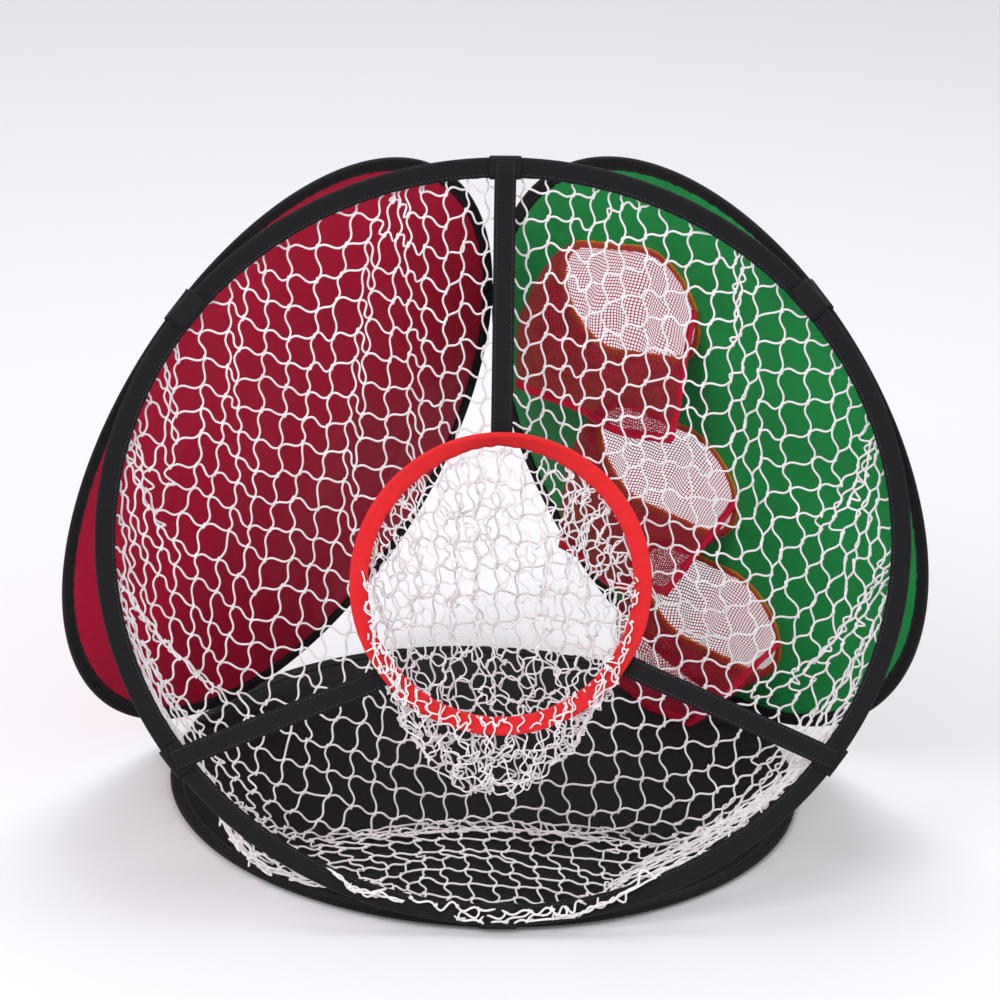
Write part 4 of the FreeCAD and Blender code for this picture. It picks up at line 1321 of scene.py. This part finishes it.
def within_hoop(points, rim):
    """Keep a net from spreading out under the hoop, except where some has slipped out at the foot."""
    spot = HOOP.local(points)
    x, y = spot[:, 0] / rim[0], spot[:, 1] / rim[1]
    away = np.maximum(np.hypot(x, y), 1e-6)
    angle = np.degrees(np.arctan2(y, x))
    limit = 0.995 + 0.11 * np.exp(-((angle + 124) / 12) ** 2) + 0.045 * np.exp(-((angle + 88) / 16) ** 4)
    scale = np.minimum(limit / away, 1)[:, None]
    return HOOP.at(spot[:, 0] * scale[:, 0], spot[:, 1] * scale[:, 0], spot[:, 2])


def build_catch_net():
    rim = HOOP_HALF - BAND["hoop"] + 0.0015
    cut = rim * CATCH_SLACK
    net = Net(*cut, *CATCH_CELL, CATCH_UNEVEN, 70)
    reach = net.nodes / cut
    depth = 1 - (reach ** 2).sum(axis=1)
    reach = gathered(reach, 75, 0.045, (5, 8, 13, 19))
    depth = np.clip(depth, 0, 1)
    start = HOOP.at(reach[:, 0] * rim[0], reach[:, 1] * rim[1], -0.004)
    start += depth[:, None] ** 0.8 * (0.21 * BLACK.y - 0.10 * UP)
    spilled = spills(reach) & ~net.pinned
    start[spilled] += 0.012 * HOOP.n
    rng = np.random.default_rng(71)
    start[~net.pinned] += 0.003 * rng.standard_normal((net.inner, 3))

    def collide(points):
        return behind_hoop(above_panels(within_hoop(points, rim)), spilled[: net.inner])

    steps = 700
    hung = drape(start, net.links, net.lengths, net.pinned, collide, steps, 14, grip=lies_on_black)
    paths = off_the_floor(yarn_paths(hung, net, 0.07, 72, 9))
    link_up = net.nodes[net.links][:, :, 1].mean(axis=1) >= 0
    knot_up = net.nodes[: net.inner, 1] >= 0
    direction = knot_directions(hung, net)
    for label, links, ties in (("upper", link_up, knot_up), ("lower", ~link_up, ~knot_up)):
        yarn = tubes(f"catch_net_{label}", paths[links], YARN, 6, white_yarn)
        lumps = knots(f"catch_net_{label}_knots", hung[: net.inner][ties], direction[ties], YARN * 1.45,
                      white_yarn)
        for piece in (yarn, lumps):
            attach(piece, "frame")
        if label == "upper":
            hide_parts("catch_net")


def knot_directions(points, net):
    """The way each knot's upright yarns run."""
    direction = np.zeros_like(points)
    for (first, second), kind in zip(net.links, net.kinds):
        if kind == 1:
            direction[first] += points[second] - points[first]
            direction[second] += points[second] - points[first]
    return direction[: net.inner]


build_catch_net()


def clear_of_ring(points):
    """Keep the small net out of the target ring's own sleeve."""
    return out_of_ring(points, 0.0052)


def out_of_ring(points, clear):
    spot = TARGET.local(points)
    away = np.hypot(spot[..., 0], spot[..., 1])
    middle = TARGET_HALF[0] - BAND["target"] / 2
    inside = (np.abs(away - middle) < BAND["target"] / 2 + 0.001) & (np.abs(spot[..., 2]) < clear)
    side = np.where(spot[..., 2] >= -0.0012, 1.0, -1.0)
    return points + TARGET.n * (inside * (side * clear - spot[..., 2]))[..., None]


def build_target_net():
    rim = TARGET_HALF[0] - BAND["target"] + 0.001
    cut = rim * TARGET_SLACK
    net = Net(cut, cut, *TARGET_CELL, TARGET_UNEVEN, 80)
    reach = net.nodes / cut
    depth = np.clip(1 - (reach ** 2).sum(axis=1), 0, 1)
    reach = gathered(reach, 85, 0.07, (4, 7, 11))
    in_front = np.clip((0.15 - reach[:, 1]) / 0.4, 0, 1)
    start = TARGET.at(reach[:, 0] * rim, reach[:, 1] * rim - 0.075 * depth,
                      -0.0022 + 0.0044 * in_front + 0.075 * np.sqrt(depth) * in_front)
    rng = np.random.default_rng(81)
    start[~net.pinned] += 0.007 * rng.standard_normal((net.inner, 3))
    steps = 300
    hung = drape(start, net.links, net.lengths, net.pinned, clear_of_ring, steps, 12)
    hung[~net.pinned] += 0.003 * rng.standard_normal((net.inner, 3))
    paths = out_of_ring(yarn_paths(hung, net, 0.24, 82, 9, wild=1.9), 0.0036)
    yarn = tubes("target_net_yarn", paths, TARGET_YARN, 6, white_yarn)
    lumps = knots("target_net_knots", hung[: net.inner], knot_directions(hung, net), YARN * 1.2,
                  white_yarn)
    for piece in (yarn, lumps):
        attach(piece, "target")
    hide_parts("target_net", "target_net_slack")


build_target_net()
